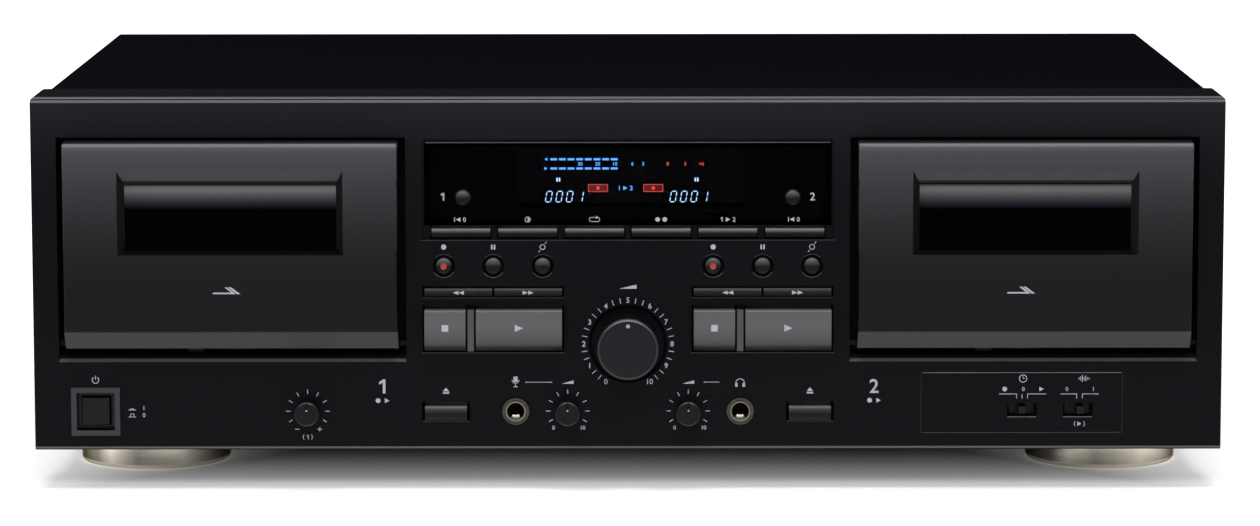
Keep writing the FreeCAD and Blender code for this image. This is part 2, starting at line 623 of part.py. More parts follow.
def front_panel():
    """The moulded front: an open-backed tray with every opening, bevel and recess."""
    part = body("front_panel", y=FACE)
    upper_bevel = f"{PANEL_HIGH} - brow_upper"
    step = f"{upper_bevel} - brow_step"
    pad(part, "side", "0", "panel_width", [polygon([
        ("0", "ground_gap + edge_bevel"), ("edge_bevel", "ground_gap"),
        ("panel_depth", "ground_gap"), ("panel_depth", PANEL_HIGH),
        ("brow_lower + brow_upper", PANEL_HIGH), ("brow_lower", upper_bevel),
        ("brow_lower", step), ("0", f"{step} - brow_lower")])], both=True)
    dress(part, "Fillet", "end_round",
          lambda edge, middle: near(middle.z, PANEL_HIGH) and near(abs(middle.x), "panel_width / 2"))
    inside = "panel_width / 2 - panel_rim"
    cut(part, "front", "panel_depth", "panel_depth - panel_wall",
        [span(f"-1 * ({inside})", CASE_LOW, inside, f"{PANEL_HIGH} - panel_rim")], back=True)

    shallow = [span("-1 * recess_half", "recess_low", "recess_half", "recess_high")]
    cut(part, "front", "0", "recess_deep", shallow)
    transport = [block(f"{side} * group_x", "transport_z + transport_shift",
                       "2 * (group_half + group_gap)", "transport_slot") for _, side in DECKS]
    cut(part, "front", "0", "transport_deep", transport)
    cut(part, "front", "0", "dial_deep", [circle("0", "rec_z", "dial_radius")])
    seat = "glass_half + glass_fit"
    cut(part, "front", "0", "glass_sink + glass_wall",
        [span(f"-1 * ({seat})", "glass_low - glass_fit", seat, "glass_high + glass_fit")])

    holes = []
    for _, side in DECKS:
        holes.append(span(f"{side} * {DOOR_X} - {OPENING_HALF}", OPENING_LOW,
                          f"{side} * {DOOR_X} + {OPENING_HALF}", OPENING_HIGH))
        holes.append(block(f"{side} * group_x", "wind_z + wind_shift",
                           "2 * (group_half + group_gap)", "wind_slot"))
        holes.append(block(f"{side} * eject_x", "eject_z + eject_shift",
                           "eject_slot_width", "eject_slot_height"))
        holes.append(circle(f"{side} * jack_x", "row_z", "jack_thread + jack_fit"))
        web_left = f"{side} * group_x + {BAR_X} - bar_width / 2 - web_side"
        web_right = f"{side} * group_x + {BAR_X} + bar_width / 2 + web_side"
        slot_low = "transport_z + transport_shift - transport_slot / 2"
        slot_high = "transport_z + transport_shift + transport_slot / 2"
        holes.append(span(f"{side} * group_x - group_half - group_gap", slot_low,
                          web_left, slot_high))
        holes.append(span(web_right, slot_low,
                          f"{side} * group_x + group_half + group_gap", slot_high))
    for index in range(6):
        holes.append(block(f"({index} - 2.5) * function_pitch", "function_z",
                           "function_width + 2 * function_side_gap", "function_slot"))
    for key in round_keys.values():
        if key["z"] == "round_z":
            holes.append(circle(key["x"], key["z"], f"{key['radius']} + {key['gap']}"))
    opening = "glass_half - glass_ledge"
    holes.append(span(f"-1 * ({opening})", "glass_low + glass_ledge",
                      opening, "glass_high - glass_ledge"))
    for x in small_knobs.values():
        holes.append(circle(x, "row_z", "small_shaft + shaft_hole"))
    holes.append(circle("0", "rec_z", "post_shaft + shaft_hole"))
    for x, _ in slide_switches.values():
        holes.append(block(x, "slide_z", "slide_slot_width", "slide_slot_height"))
    holes.append(block(POWER_X, "row_z", "bezel_neck + 2 * bezel_fit",
                       "bezel_neck + 2 * bezel_fit"))
    cut(part, "front", "0", "panel_wall", holes)

    for _, side in DECKS:
        sill = [("0", f"{OPENING_LOW} - ledge_rise"), ("panel_wall", OPENING_LOW),
                ("0", OPENING_LOW)]
        cut(part, "side", f"{side} * {DOOR_X}", f"2 * {OPENING_HALF}", [polygon(sill)], both=True)
    cut(part, "front", "0", "line_deep",
        [span(f"{PLATE_RIGHT} - plate_width", "plate_low", PLATE_RIGHT, "plate_high"),
         span(f"{PLATE_RIGHT} - plate_width + line_width", "plate_low + line_width",
              f"{PLATE_RIGHT} - line_width", "plate_high - line_width")])
    pad(part, "front", "transport_deep", "transport_deep + transport_stand",
        [block(f"{side} * group_x + {BAR_X}", "transport_z", "bar_width", "transport_height")
         for _, side in DECKS])
    pad(part, "front", "board_depth", "board_depth - panel_wall",
        [circle(x, z, "stand_radius") for x, z in board_posts])
    hole_radius = size("round_radius + round_gap")
    dress(part, "Chamfer", "round_bevel",
          lambda edge, middle: near(middle.y, "0") and hasattr(edge.Curve, "Radius")
          and abs(edge.Curve.Radius - hole_radius) < 0.001)
    dress(part, "Chamfer", "dial_bevel",
          lambda edge, middle: near(middle.y, "0") and hasattr(edge.Curve, "Radius")
          and near(edge.Curve.Radius, "dial_radius"))


def case_shells():
    """The folded top cover, and the chassis pan whose rear wall is folded up."""
    cover = body("top_cover", y=FACE)
    inner = f"{CASE_HALF} - sheet_wall"
    pad(cover, "front", "case_depth", "case_depth - panel_depth - cover_gap", [polygon([
        (f"-1 * {CASE_HALF}", CASE_LOW), (f"-1 * ({inner})", CASE_LOW),
        (f"-1 * ({inner})", f"{CASE_HIGH} - sheet_wall"), (inner, f"{CASE_HIGH} - sheet_wall"),
        (inner, CASE_LOW), (CASE_HALF, CASE_LOW), (CASE_HALF, CASE_HIGH),
        (f"-1 * {CASE_HALF}", CASE_HIGH)])])
    dress(cover, "Fillet", "cover_bend",
          lambda edge, middle: near(middle.z, CASE_HIGH) and near(abs(middle.x), CASE_HALF))

    pan = body("chassis", y=FACE)
    half = f"({inner} - sheet_gap)"
    rear_top = f"({CASE_HIGH} - sheet_wall - sheet_gap)"
    pad(pan, "side", "0", f"2 * {half}", [polygon([
        ("panel_wall + sheet_gap", CASE_LOW), ("case_depth", CASE_LOW),
        ("case_depth", rear_top), ("case_depth - sheet_wall", rear_top),
        ("case_depth - sheet_wall", CHASSIS_TOP), ("panel_wall + sheet_gap", CHASSIS_TOP)])],
        both=True)
    for side in ("-1", "1"):
        pad(pan, "side", f"{side} * ({half} - sheet_wall / 2)", "sheet_wall",
            [span("panel_depth + cover_gap", CASE_LOW, "case_depth",
                  f"{CASE_LOW} + flange_height")], both=True)
    corners = [("main_left + main_margin", "main_front + main_margin"),
               ("main_left + main_width - main_margin", "main_front + main_margin"),
               ("main_left + main_margin", "main_back - main_margin"),
               ("main_left + main_width - main_margin", "main_back - main_margin")]
    pad(pan, "plan", CASE_LOW, "sheet_wall + main_rise",
        [circle(x, y, "stand_radius") for x, y in corners])
    cut(pan, "front", "case_depth - 2 * sheet_wall", "3 * sheet_wall",
        [circle(x, z, "line_collar + line_fit") for x, z in line_jacks]
        + [block(INLET_X, "inlet_z", "inlet_width + 2 * inlet_fit",
                 "inlet_height + 2 * inlet_fit")])


line_jacks = [(f"{LINE_X} + {column} * line_pitch / 2", f"line_low + {line} * line_pitch")
              for column in ("-1", "1") for line in ("0", "1")]


def feet():
    """Four round feet: a metal ring with a groove, over a rubber pad."""
    part = body("feet", y=FACE)
    drawing = sketch(part, "front", "foot_front", [polygon([
        (FOOT_X, "0"), (f"{FOOT_X} + pad_radius", "0"), (f"{FOOT_X} + pad_radius", "pad_height"),
        (f"{FOOT_X} + foot_radius - foot_groove", "pad_height"),
        (f"{FOOT_X} + foot_radius", "pad_height + foot_groove"),
        (f"{FOOT_X} + foot_radius", "foot_lip"),
        (f"{FOOT_X} + foot_radius - foot_groove", "foot_lip + foot_groove"),
        (f"{FOOT_X} + foot_radius - foot_groove", "foot_lip + 2 * foot_groove"),
        (f"{FOOT_X} + foot_radius", "foot_lip + 3 * foot_groove"),
        (f"{FOOT_X} + foot_top", CASE_LOW), (FOOT_X, CASE_LOW)])])
    first = drawing.addGeometry(Part.LineSegment(
        FreeCAD.Vector(size(FOOT_X), 0, 0), FreeCAD.Vector(size(FOOT_X), 1, 0)), True)
    pin_point(drawing, first, 1, FOOT_X, "0")
    pin_point(drawing, first, 2, FOOT_X, CASE_LOW)
    foot = part.newObject("PartDesign::Revolution", "foot")
    foot.Profile = (drawing, [""])
    foot.ReferenceAxis = (drawing, ["Axis0"])
    foot.Angle = 360
    copies = part.newObject("PartDesign::LinearPattern", "foot_places")
    copies.Originals = [foot]
    copies.Direction = (origin_feature(part, "X_Axis"), [""])
    copies.Reversed = True
    copies.setExpression("Length", linked(f"2 * {FOOT_X}"))
    copies.Occurrences = 2
    copies.Direction2 = (origin_feature(part, "Y_Axis"), [""])
    copies.setExpression("Length2", linked("foot_rear - foot_front"))
    copies.Occurrences2 = 2
    part.Tip = copies


def display():
    """The display window, which the counter buttons pass through, and the tube behind it."""
    window = body("display_window", y=FACE)
    pad(window, "front", "glass_sink + glass_wall", "glass_wall",
        [span("-1 * glass_half", "glass_low", "glass_half", "glass_high")]
        + [circle(f"{side} * counter_x", "counter_z", "counter_radius + counter_gap")
           for _, side in DECKS])
    tube = body("display_tube", x="tube_x", y=FACE, z="tube_z")
    pad(tube, "front", "tube_depth + tube_wall", "tube_base",
        [block("0", "0", "tube_width", "tube_height")])
    pad(tube, "front", "tube_depth + tube_wall - tube_base", "tube_wall - tube_base",
        [block("0", "0", "tube_width - 2 * tube_step", "tube_height - 2 * tube_step")])
    pad(tube, "side", "tube_step - tube_width / 2", "2 * tube_step",
        [circle("tube_depth + (tube_wall - tube_base) / 2", "0", "tube_nib")], back=True)


def control_board():
    """The upright board behind the panel, with its switches, potentiometers and tube rest."""
    part = body("control_board", y=FACE)
    jacks = [block(f"{side} * jack_x", "row_z", "jack_body + 2 * stem_gap",
                   "jack_body + 2 * stem_gap") for _, side in DECKS]
    pad(part, "front", "board_depth + board_wall", "board_wall", [polygon([
        (f"-1 * {BOARD_REACH}", "board_low"), (BOARD_REACH, "board_low"),
        (BOARD_REACH, "board_step"), ("board_half", "board_step"),
        ("board_half", "board_high"), ("-1 * board_half", "board_high"),
        ("-1 * board_half", "board_step"), (f"-1 * {BOARD_REACH}", "board_step")])] + jacks)
    places = [(key["x"], key["z"]) for key in rectangular_keys.values()]
    places += [(key["x"], key["z"]) for key in round_keys.values() if key["z"] == "round_z"]
    places.append((POWER_X, "row_z"))
    pad(part, "front", "board_depth", "tact_height",
        [block(x, z, "tact_width", "tact_width" if z != "wind_z" else "tact_height")
         for x, z in places])
    pad(part, "front", "board_depth", "board_depth - tube_depth - tube_wall",
        [block("tube_x", "tube_z", "tube_width - 4 * tube_step", "tube_height - 2 * tube_step")])
    knobs = [("0", "rec_z", "post_shaft")]
    knobs += [(x, "row_z", "small_shaft") for x in small_knobs.values()]
    pad(part, "front", "board_depth", "pot_height",
        [block(x, z, "pot_width", "pot_width") for x, z, _ in knobs])
    pad(part, "front", "board_depth - pot_height",
        "board_depth - pot_height - panel_wall - pot_gap",
        [circle(x, z, f"{shaft} + turn_fit + pot_wall") for x, z, shaft in knobs])
    cut(part, "front", "panel_wall", "board_depth - panel_wall - run_gap",
        [circle(x, z, f"{shaft} + turn_fit") for x, z, shaft in knobs])
    pad(part, "front", "board_depth",
        "board_depth - panel_wall - 2 * slider_gap - slider_wall",
        [block(x, "slide_z", "housing_width", "housing_height")
         for x, _ in slide_switches.values()])


def push_keys():
    """Every key: a cap with retaining lips behind the panel, and a stem to its switch."""
    for label, key in rectangular_keys.items():
        part = body(label, x=key["x"], y=FACE, z=key["z"])
        high = f"{key['height']} / 2"
        pad(part, "side", "0", key["width"], [polygon([
            (f"-1 * {key['stand']}", f"{key['bevel']} - {high}"),
            (f"{key['bevel']} - {key['stand']}", f"-1 * {high}"),
            (LIP_FRONT, f"-1 * {high}"), (LIP_FRONT, f"-1 * {high} - key_lip"),
            (LIP_BACK, f"-1 * {high} - key_lip"), (LIP_BACK, f"{high} + key_lip"),
            (LIP_FRONT, f"{high} + key_lip"), (LIP_FRONT, high),
            (f"key_edge - {key['stand']}", high), (f"-1 * {key['stand']}", f"{high} - key_edge")])],
            both=True)
        reach = f"board_depth - tact_height - {key['travel']} - stem_gap"
        pad(part, "front", reach, f"{reach} - {LIP_FRONT}", [circle("0", "0", "stem_radius")])
    for label, key in round_keys.items():
        part = body(label, x=key["x"], y=FACE, z=key["z"])
        lip = f"{key['radius']} + key_lip"
        back = "board_depth - tact_height - key_travel - stem_gap"
        front = LIP_FRONT
        rear = LIP_BACK
        if key["z"] == "counter_z":
            front = "glass_sink + glass_wall + stem_gap"
            back = rear = "tube_depth"
        turned(part, [("0", f"-1 * {key['stand']}"),
                      (f"{key['radius']} - key_edge", f"-1 * {key['stand']}"),
                      (key["radius"], f"key_edge - {key['stand']}"),
                      (key["radius"], front), (lip, front), (lip, rear), ("0", rear)])
        if back != rear:
            pad(part, "front", back, f"{back} - {LIP_FRONT}", [circle("0", "0", "stem_radius")])


def power_switch():
    """The square power button and the light bezel round it."""
    bezel = body("power_bezel", x=POWER_X, y=FACE, z="row_z")
    pad(bezel, "front", "0", "bezel_stand",
        [block("0", "0", "bezel_width", "bezel_width"), block("0", "0", "bezel_open", "bezel_open")])
    button_hole = "power_width + 2 * bezel_gap"
    pad(bezel, "front", "0", "bezel_back",
        [block("0", "0", "bezel_neck", "bezel_neck"), block("0", "0", button_hole, button_hole)],
        back=True)
    cut(bezel, "front", "0", "bezel_deep", [block("0", "0", "bezel_open", "bezel_open")])
    button = body("power_button", x=POWER_X, y=FACE, z="row_z")
    pad(button, "front", "bezel_back", "bezel_back", [block("0", "0", "power_width", "power_width")])
    reach = "board_depth - tact_height - power_travel - stem_gap"
    pad(button, "front", reach, f"{reach} - bezel_back", [circle("0", "0", "stem_radius")])
    dress(button, "Fillet", "key_edge",
          lambda edge, middle: near(middle.y, "0"))


def knobs():
    """The record level knob and the three small knobs, each with its shaft."""
    part = body("rec_level_knob", y=FACE, z="rec_z")
    back = "dial_deep - dial_gap"
    end = "board_depth - 2 * run_gap"
    turned(part, [("0", "-1 * knob_stand"), ("rec_radius - rim_bevel", "-1 * knob_stand"),
                  ("rec_radius", "rim_bevel - knob_stand"), ("rec_radius", back),
                  ("post_shaft", back), ("post_shaft", end), ("0", end)])
    cut(part, "front", "-1 * knob_stand", "dot_deep", [circle("0", "dot_reach", "dot_radius")])
    for label, x in small_knobs.items():
        part = body(label, x=x, y=FACE, z="row_z")
        turned(part, [("0", "-1 * small_stand"), ("small_radius - small_bevel", "-1 * small_stand"),
                      ("small_radius", "small_bevel - small_stand"),
                      ("small_radius", "-1 * small_gap"), ("small_shaft", "-1 * small_gap"),
                      ("small_shaft", end), ("0", end)])
        cut(part, "front", "-1 * small_stand", "notch_deep",
            [span("-1 * notch_width / 2", "small_radius / 2", "notch_width / 2",
                  "small_radius + notch_width")])


def slide_switch(label, x, start):
    """A slide switch: a nub on a slider that runs in front of its housing."""
    part = body(label, x=f"{x} + {start}", y=FACE, z="slide_z")
    back = "panel_wall + slider_gap + slider_wall"
    pad(part, "front", back, "slider_wall",
        [block(f"-1 * {start}", "0", "slider_width", "slider_height")])
    pad(part, "front", back, f"{back} + nub_stand", [block("0", "0", "nub_width", "nub_height")])
    dress(part, "Fillet", "key_edge", lambda edge, middle: near(middle.y, "-1 * nub_stand"))


def front_jacks():
    """The microphone and phones jacks: body, threaded neck and round nut, bored through."""
    part = body("front_jacks", y=FACE, z="row_z")
    for _, side in DECKS:
        x = f"{side} * jack_x"
        pad(part, "front", "jack_length", "jack_length - panel_wall",
            [block(x, "0", "jack_body", "jack_body")])
        pad(part, "front", "panel_wall", "panel_wall", [circle(x, "0", "jack_thread")])
        pad(part, "front", "0", "jack_proud", [circle(x, "0", "jack_nut")])
        cut(part, "front", "-1 * jack_proud", "jack_proud / 2",
            [circle(x, "0", "jack_ring"), circle(x, "0", "jack_thread")])
        cut(part, "front", "-1 * jack_proud", "jack_proud + jack_length - jack_floor",
            [circle(x, "0", "jack_bore")])


def deck_plate(number, side):
    """The well behind a door, with hinge holes, bearings, locating pins and motor."""
    part = body(f"deck_plate_{number}", x=f"{side} * {DOOR_X}", y=FACE)
    half = f"({OPENING_HALF} + well_gap)"
    low = f"({OPENING_LOW} - well_drop)"
    high = f"({OPENING_HIGH} + well_gap)"
    back = "(plate_depth + plate_wall)"
    pad(part, "front", back, f"{back} - panel_wall",
        [span(f"-1 * {half} - well_wall", f"{low} - well_wall",
              f"{half} + well_wall", f"{high} + well_wall")])
    cut(part, "front", "panel_wall", "plate_depth - panel_wall",
        [span(f"-1 * {half}", low, half, high)])
    for x in ("-1 * tab_x", "tab_x"):
        pad(part, "front", "panel_wall + well_wall", "well_wall",
            [span(f"{x} - tab_width / 2", f"{high} + well_wall / 2", f"{x} + tab_width / 2",
                  f"{high} + well_wall + tab_reach"),
             circle(x, f"{high} + well_wall + tab_reach / 2", "tab_hole")])
    wheel_back = f"({back} + sleeve_length + 2 * run_gap + wheel_wall)"
    spindles = [(f"{way} * hub_span / 2", HUB_Z) for way in ("-1", "1")]
    pad(part, "front", back, "boss_length", [circle(x, z, "boss_radius") for x, z in spindles],
        back=True)
    pad(part, "front", back, "sleeve_length", [circle("capstan_x", CAPSTAN_Z, "boss_radius")],
        back=True)
    pad(part, "front", back, "motor_length", [circle("-1 * motor_x", CAPSTAN_Z, "motor_radius")],
        back=True)
    posts = [(f"capstan_x + {way} * (bracket_half - bracket_post)", CAPSTAN_Z)
             for way in ("-1", "1")]
    pad(part, "front", back, f"{wheel_back} + run_gap - {back}",
        [circle(x, z, "bracket_post") for x, z in posts], back=True)
    pad(part, "front", f"{wheel_back} + run_gap", "bracket_wall",
        [block("capstan_x", CAPSTAN_Z, "2 * bracket_half", "bracket_height")], back=True)
    cut(part, "front", "plate_depth", "plate_wall + boss_length",
        [circle(x, z, "shaft_radius + turn_fit") for x, z in spindles])
    cut(part, "front", "plate_depth", "plate_wall + sleeve_length",
        [circle("capstan_x", CAPSTAN_Z, "capstan_radius + capstan_fit")])
    cut(part, "side", "0", f"2 * ({half} + 2 * well_wall)",
        [circle("hinge_depth", HINGE_Z, "pin_radius + turn_fit")], both=True)
    pad(part, "front", "plate_depth", "carriage_gap + carriage_wall",
        [circle(f"{way} * guide_x", GUIDE_Z, "guide_radius") for way in ("-1", "1")])
    pad(part, "front", "plate_depth", "locator_length",
        [circle(f"{way} * locator_x", f"{TAPE_LOW} + locator_rise", "locator_radius")
         for way in ("-1", "1")])


GUIDE_Z = f"({TAPE_LOW} - carriage_low + carriage_height - 2 * guide_radius)"


def door(number, side):
    """A tape door: moulded front with a sloping chin, window bevel, hinge ears and pins."""
    part = body(f"door_{number}", x=f"{side} * {DOOR_X}", y=FACE, z="door_low")
    back = "(door_depth - door_stand)"
    pad(part, "side", "0", "door_width", [polygon([
        ("-1 * door_stand", "chin_height"), ("chin_back - door_stand", "0"), (back, "0"),
        (back, "door_height"), ("-1 * door_stand", "door_height")])], both=True)
    inside = "door_width / 2 - door_rim"
    cut(part, "front", back, "door_depth - door_wall",
        [span(f"-1 * ({inside})", "chin_height + chin_wall", inside, "door_height - door_rim")],
        back=True)
    lens_high = "lens_low + lens_height"
    lofted_cut(part, "-1 * door_stand",
               span("-1 * (lens_width / 2 + frame_side)", "lens_low - frame_low",
                    "lens_width / 2 + frame_side", f"{lens_high} + frame_top"),
               "door_wall - door_stand",
               span("-1 * lens_width / 2", "lens_low", "lens_width / 2", lens_high))
    corners = [(f"{way} * ({HOLDER_HALF} - post_margin)", z)
               for way in ("-1", "1")
               for z in ("chin_height + post_margin", "door_height - post_margin")]
    pad(part, "front", f"{back} - holder_wall", "door_depth - door_wall - holder_wall",
        [circle(x, z, "post_radius") for x, z in corners])
    for way in ("-1", "1"):
        plane = f"{way} * door_width / 2"
        inwards = way == "1"
        pad(part, "side", plane, "ear_wall",
            [span(f"{back} - door_rim", "hinge_rise", "hinge_depth", "ear_height")],
            back=inwards)
        pad(part, "side", plane, "ear_wall",
            [circle("hinge_depth", "hinge_rise", "ear_round")], back=inwards)
        pad(part, "side", plane, "door_side_gap + well_gap + well_wall - run_gap",
            [circle("hinge_depth", "hinge_rise", "pin_radius")], back=not inwards)
    dress(part, "Fillet", "door_round",
          lambda edge, middle: near(middle.y, "-1 * door_stand") and near(middle.z, "door_height"))
    dress(part, "Fillet", "door_soften",
          lambda edge, middle: near(middle.y, "-1 * door_stand")
          and near(abs(middle.x), "door_width / 2"))

    pane = body(f"door_{number}_window", x=f"{side} * {DOOR_X}", y=FACE, z="door_low")
    pad(pane, "front", "door_wall - door_stand + lens_wall", "lens_wall",
        [span("-1 * (lens_width / 2 + lens_lap)", "lens_low - lens_lap",
              "lens_width / 2 + lens_lap", f"{lens_high} + lens_lap")])


HOLDER_HALF = "(tape_width / 2 + tape_play + rail_wall)"


def cassette_holder(number, side):
    """The carrier on a door's back: front plate, side rails with lips, and two shelves."""
    part = body(f"cassette_holder_{number}", x=f"{side} * {DOOR_X}", y=FACE, z=TAPE_LOW)
    front = "(door_depth - door_stand - holder_wall)"
    back = "(door_depth - door_stand)"
    tape_back = f"({back} + tape_play + tape_thick)"
    low = "chin_height + chin_wall + stem_gap - tape_rise"
    view = "lens_width / 2 + view_margin"
    pad(part, "front", back, "holder_wall",
        [span(f"-1 * {HOLDER_HALF}", low, HOLDER_HALF, "holder_height"),
         span(f"-1 * ({view})", "lens_low - view_margin - tape_rise", view,
              "lens_low + lens_height + view_margin - tape_rise")])
    for way in ("-1", "1"):
        outer = f"{way} * {HOLDER_HALF}"
        inner = f"{way} * ({HOLDER_HALF} - rail_wall)"
        lip = f"{way} * ({HOLDER_HALF} - rail_wall - lip_reach)"
        shelf = f"{way} * ({HOLDER_HALF} - rail_wall - shelf_reach)"
        edges = sorted([outer, inner], key=size)
        pad(part, "front", f"{tape_back} + lip_wall", f"{tape_back} + lip_wall - {front}",
            [span(edges[0], "-1 * shelf_wall", edges[1], "rail_height")])
        edges = sorted([outer, lip], key=size)
        pad(part, "front", f"{tape_back} + lip_wall", "lip_wall",
            [span(edges[0], "-1 * shelf_wall", edges[1], "rail_height - lip_reach")])
        edges = sorted([outer, shelf], key=size)
        pad(part, "front", f"{tape_back} + lip_wall", f"{tape_back} + lip_wall - {front}",
            [span(edges[0], "-1 * shelf_wall", edges[1], "0")])


def spindle(label, x):
    """A reel spindle: tapered core with three fins, flange, shaft and drive drum."""
    part = body(label, x=x, y=FACE, z=HUB_Z)
    flange = "(plate_depth - table_gap)"
    drum = "(plate_depth + plate_wall + boss_length + run_gap)"
    turned(part, [("0", "spindle_tip"), ("spindle_nose", "spindle_tip"),
                  ("spindle_radius", "spindle_tip + spindle_cone"),
                  ("spindle_radius", f"{flange} - table_wall"),
                  ("table_radius", f"{flange} - table_wall"), ("table_radius", flange),
                  ("shaft_radius", flange), ("shaft_radius", drum), ("drum_radius", drum),
                  ("drum_radius", f"{drum} + drum_wall"), ("0", f"{drum} + drum_wall")])
    fin = pad(part, "front", f"{flange} - table_wall",
              "fin_length", [span("-1 * fin_wall / 2", "spindle_radius / 2",
                                  "fin_wall / 2", "fin_reach")])
    fins = part.newObject("PartDesign::PolarPattern", f"{label}_fins")
    fins.Originals = [fin]
    fins.Axis = (origin_feature(part, "Y_Axis"), [""])
    fins.Angle = 360
    fins.Occurrences = 3
    part.Tip = fins


def capstan(number, side):
    """A capstan: ground shaft through its bearing, with a dished flywheel behind."""
    part = body(f"capstan_{number}", x=f"{side} * {DOOR_X} + capstan_x", y=FACE, z=CAPSTAN_Z)
    front = "(plate_depth + plate_wall + sleeve_length + run_gap)"
    back = f"({front} + wheel_wall)"
    turned(part, [("0", "capstan_tip"), ("capstan_radius", "capstan_tip"),
                  ("capstan_radius", front), ("wheel_radius", front), ("wheel_radius", back),
                  ("wheel_radius - wheel_rim", back), ("wheel_radius - wheel_rim",
                                                       f"{back} - wheel_dish"),
                  ("wheel_hub", f"{back} - wheel_dish"), ("wheel_hub", back), ("0", back)])


def head_carriage(number, side):
    """The plate that lifts the heads and the pinch roller to the tape."""
    part = body(f"head_carriage_{number}", x=f"{side} * {DOOR_X}", y=FACE, z=TAPE_LOW)
    back = "(plate_depth - carriage_gap)"
    front = "(plate_depth - carriage_gap - carriage_wall)"
    slot = "(guide_radius + guide_fit)"
    guide = "carriage_height - carriage_low - 2 * guide_radius"
    slots = [span(f"{way} * guide_x - {slot}", f"{guide} - carriage_travel - {slot}",
                  f"{way} * guide_x + {slot}", f"{guide} + {slot}") for way in ("-1", "1")]
    pad(part, "front", back, "carriage_wall",
        [span("-1 * carriage_half", "-1 * carriage_low", "carriage_half",
              "carriage_height - carriage_low")] + slots)
    pad(part, "front", front, f"{front} - head_front",
        [block("0", "-1 * head_drop - head_height / 2", "head_width", "head_height"),
         span("-1 * eraser_x - eraser_width / 2", "-1 * carriage_low",
              "eraser_width / 2 - eraser_x", "-1 * head_drop")])
    roller = "capstan_rise - capstan_radius - roller_radius - carriage_travel"
    pad(part, "front", front, f"{front} - roller_front", [circle("capstan_x", roller, "roller_pin")])
    pad(part, "front", "roller_front + roller_length", "roller_length",
        [circle("capstan_x", roller, "roller_radius")])


def inside_the_case():
    """The transformer and the main board, both on the chassis."""
    core = body("power_transformer", x="core_inset - panel_width / 2", y=f"{FACE} + core_back", z=CHASSIS_TOP)
    pad(core, "plan", "0", "core_height", [block("0", "0", "core_width", "core_depth")])
    pad(core, "plan", "(core_height - coil_height) / 2", "coil_height",
        [block("0", "0", "coil_width", "core_depth + 2 * coil_reach")])
    pad(core, "plan", "0", "bracket_sheet", [block("0", "0", "foot_plate", "core_depth / 2")])

    board = body("main_board", y=FACE, z=MAIN_Z)
    pad(board, "plan", "0", "board_wall",
        [span("main_left", "main_front", "main_left + main_width", "main_back")])
    pad(board, "plan", "board_wall / 2", "sink_height",
        [block("main_left + sink_width", "main_front + sink_width", "sink_width", "sink_wall")])
    pad(board, "plan", "board_wall / 2", "can_height",
        [circle(f"main_left + can_radius + 2 * main_margin + {step} * 3 * can_radius",
                "main_back - sink_width + 2 * can_radius", "can_radius") for step in range(3)])


def rear_connections():
    """The four line jacks on their block, and the two-pin mains inlet."""
    part = body("rca_jacks", y=FACE)
    wall = "(case_depth - sheet_wall)"
    pad(part, "front", wall, "line_block",
        [span(f"{LINE_X} - line_pitch", f"{MAIN_Z} + board_wall", f"{LINE_X} + line_pitch",
              "line_low + line_pitch * 3 / 2")])
    pad(part, "front", wall, "sheet_wall + collar_stand",
        [circle(x, z, "line_collar") for x, z in line_jacks], back=True)
    pad(part, "front", f"{wall} - line_block / 2", "line_block / 2 + sheet_wall + jack_stand",
        [circle(x, z, "line_shell") for x, z in line_jacks], back=True)
    cut(part, "front", "case_depth + jack_stand", "jack_stand - sheet_wall",
        [circle(x, z, "line_inner") for x, z in line_jacks]
        + [circle(x, z, "line_bore + line_fit") for x, z in line_jacks], back=True)
    cut(part, "front", "case_depth + jack_stand", "jack_stand + line_block / 2",
        [circle(x, z, "line_bore") for x, z in line_jacks], back=True)

    inlet = body("ac_inlet", x=INLET_X, y=f"{FACE} + case_depth", z="inlet_z")
    pad(inlet, "front", "inlet_wall", "inlet_wall",
        [block("0", "0", "inlet_width + 2 * inlet_flange", "inlet_height")])
    pad(inlet, "front", "0", "inlet_deep", [block("0", "0", "inlet_width", "inlet_height")])
    cut(inlet, "front", "inlet_wall", "inlet_deep",
        [block("0", "0", "inlet_open", "inlet_tall")], back=True)
    pad(inlet, "front", "inlet_wall - inlet_deep", "prong_length",
        [circle(f"{way} * prong_span / 2", "0", "prong_radius") for way in ("-1", "1")],
        back=True)


front_panel()
case_shells()
feet()
display()
control_board()
push_keys()
power_switch()
knobs()
for name, (x, start) in slide_switches.items():
    slide_switch(name, x, start)
front_jacks()
for number, side in DECKS:
    deck_plate(number, side)
    door(number, side)
    cassette_holder(number, side)
    spindle(f"supply_spindle_{number}", f"{side} * {DOOR_X} - hub_span / 2")
    spindle(f"takeup_spindle_{number}", f"{side} * {DOOR_X} + hub_span / 2")
    capstan(number, side)
    head_carriage(number, side)
inside_the_case()
rear_connections()

doc.recompute()
for item in doc.Objects:
    if "Invalid" in item.State or "Error" in item.State:
        raise RuntimeError(f"{item.Label} failed: {item.State}")
for part in sub_parts:
    if part.Shape.isNull() or not part.Shape.isValid():
        raise RuntimeError(f"{part.Label} has no valid shape")
os.makedirs("parts", exist_ok=True)
for part in sub_parts:
    part.Shape.exportStep(f"parts/{part.Label}.step")
print(len(sub_parts), "sub-parts")
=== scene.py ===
"""Looks for the cassette duplicator: materials, printing, glowing display and small fasteners.

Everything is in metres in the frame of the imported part: +Z up, the panel faces -Y, the floor
is at Z = 0. Sizes are written in millimetres and multiplied by MM.
"""

import math

import bmesh
import bpy
import numpy as np
from mathutils import Matrix, Vector


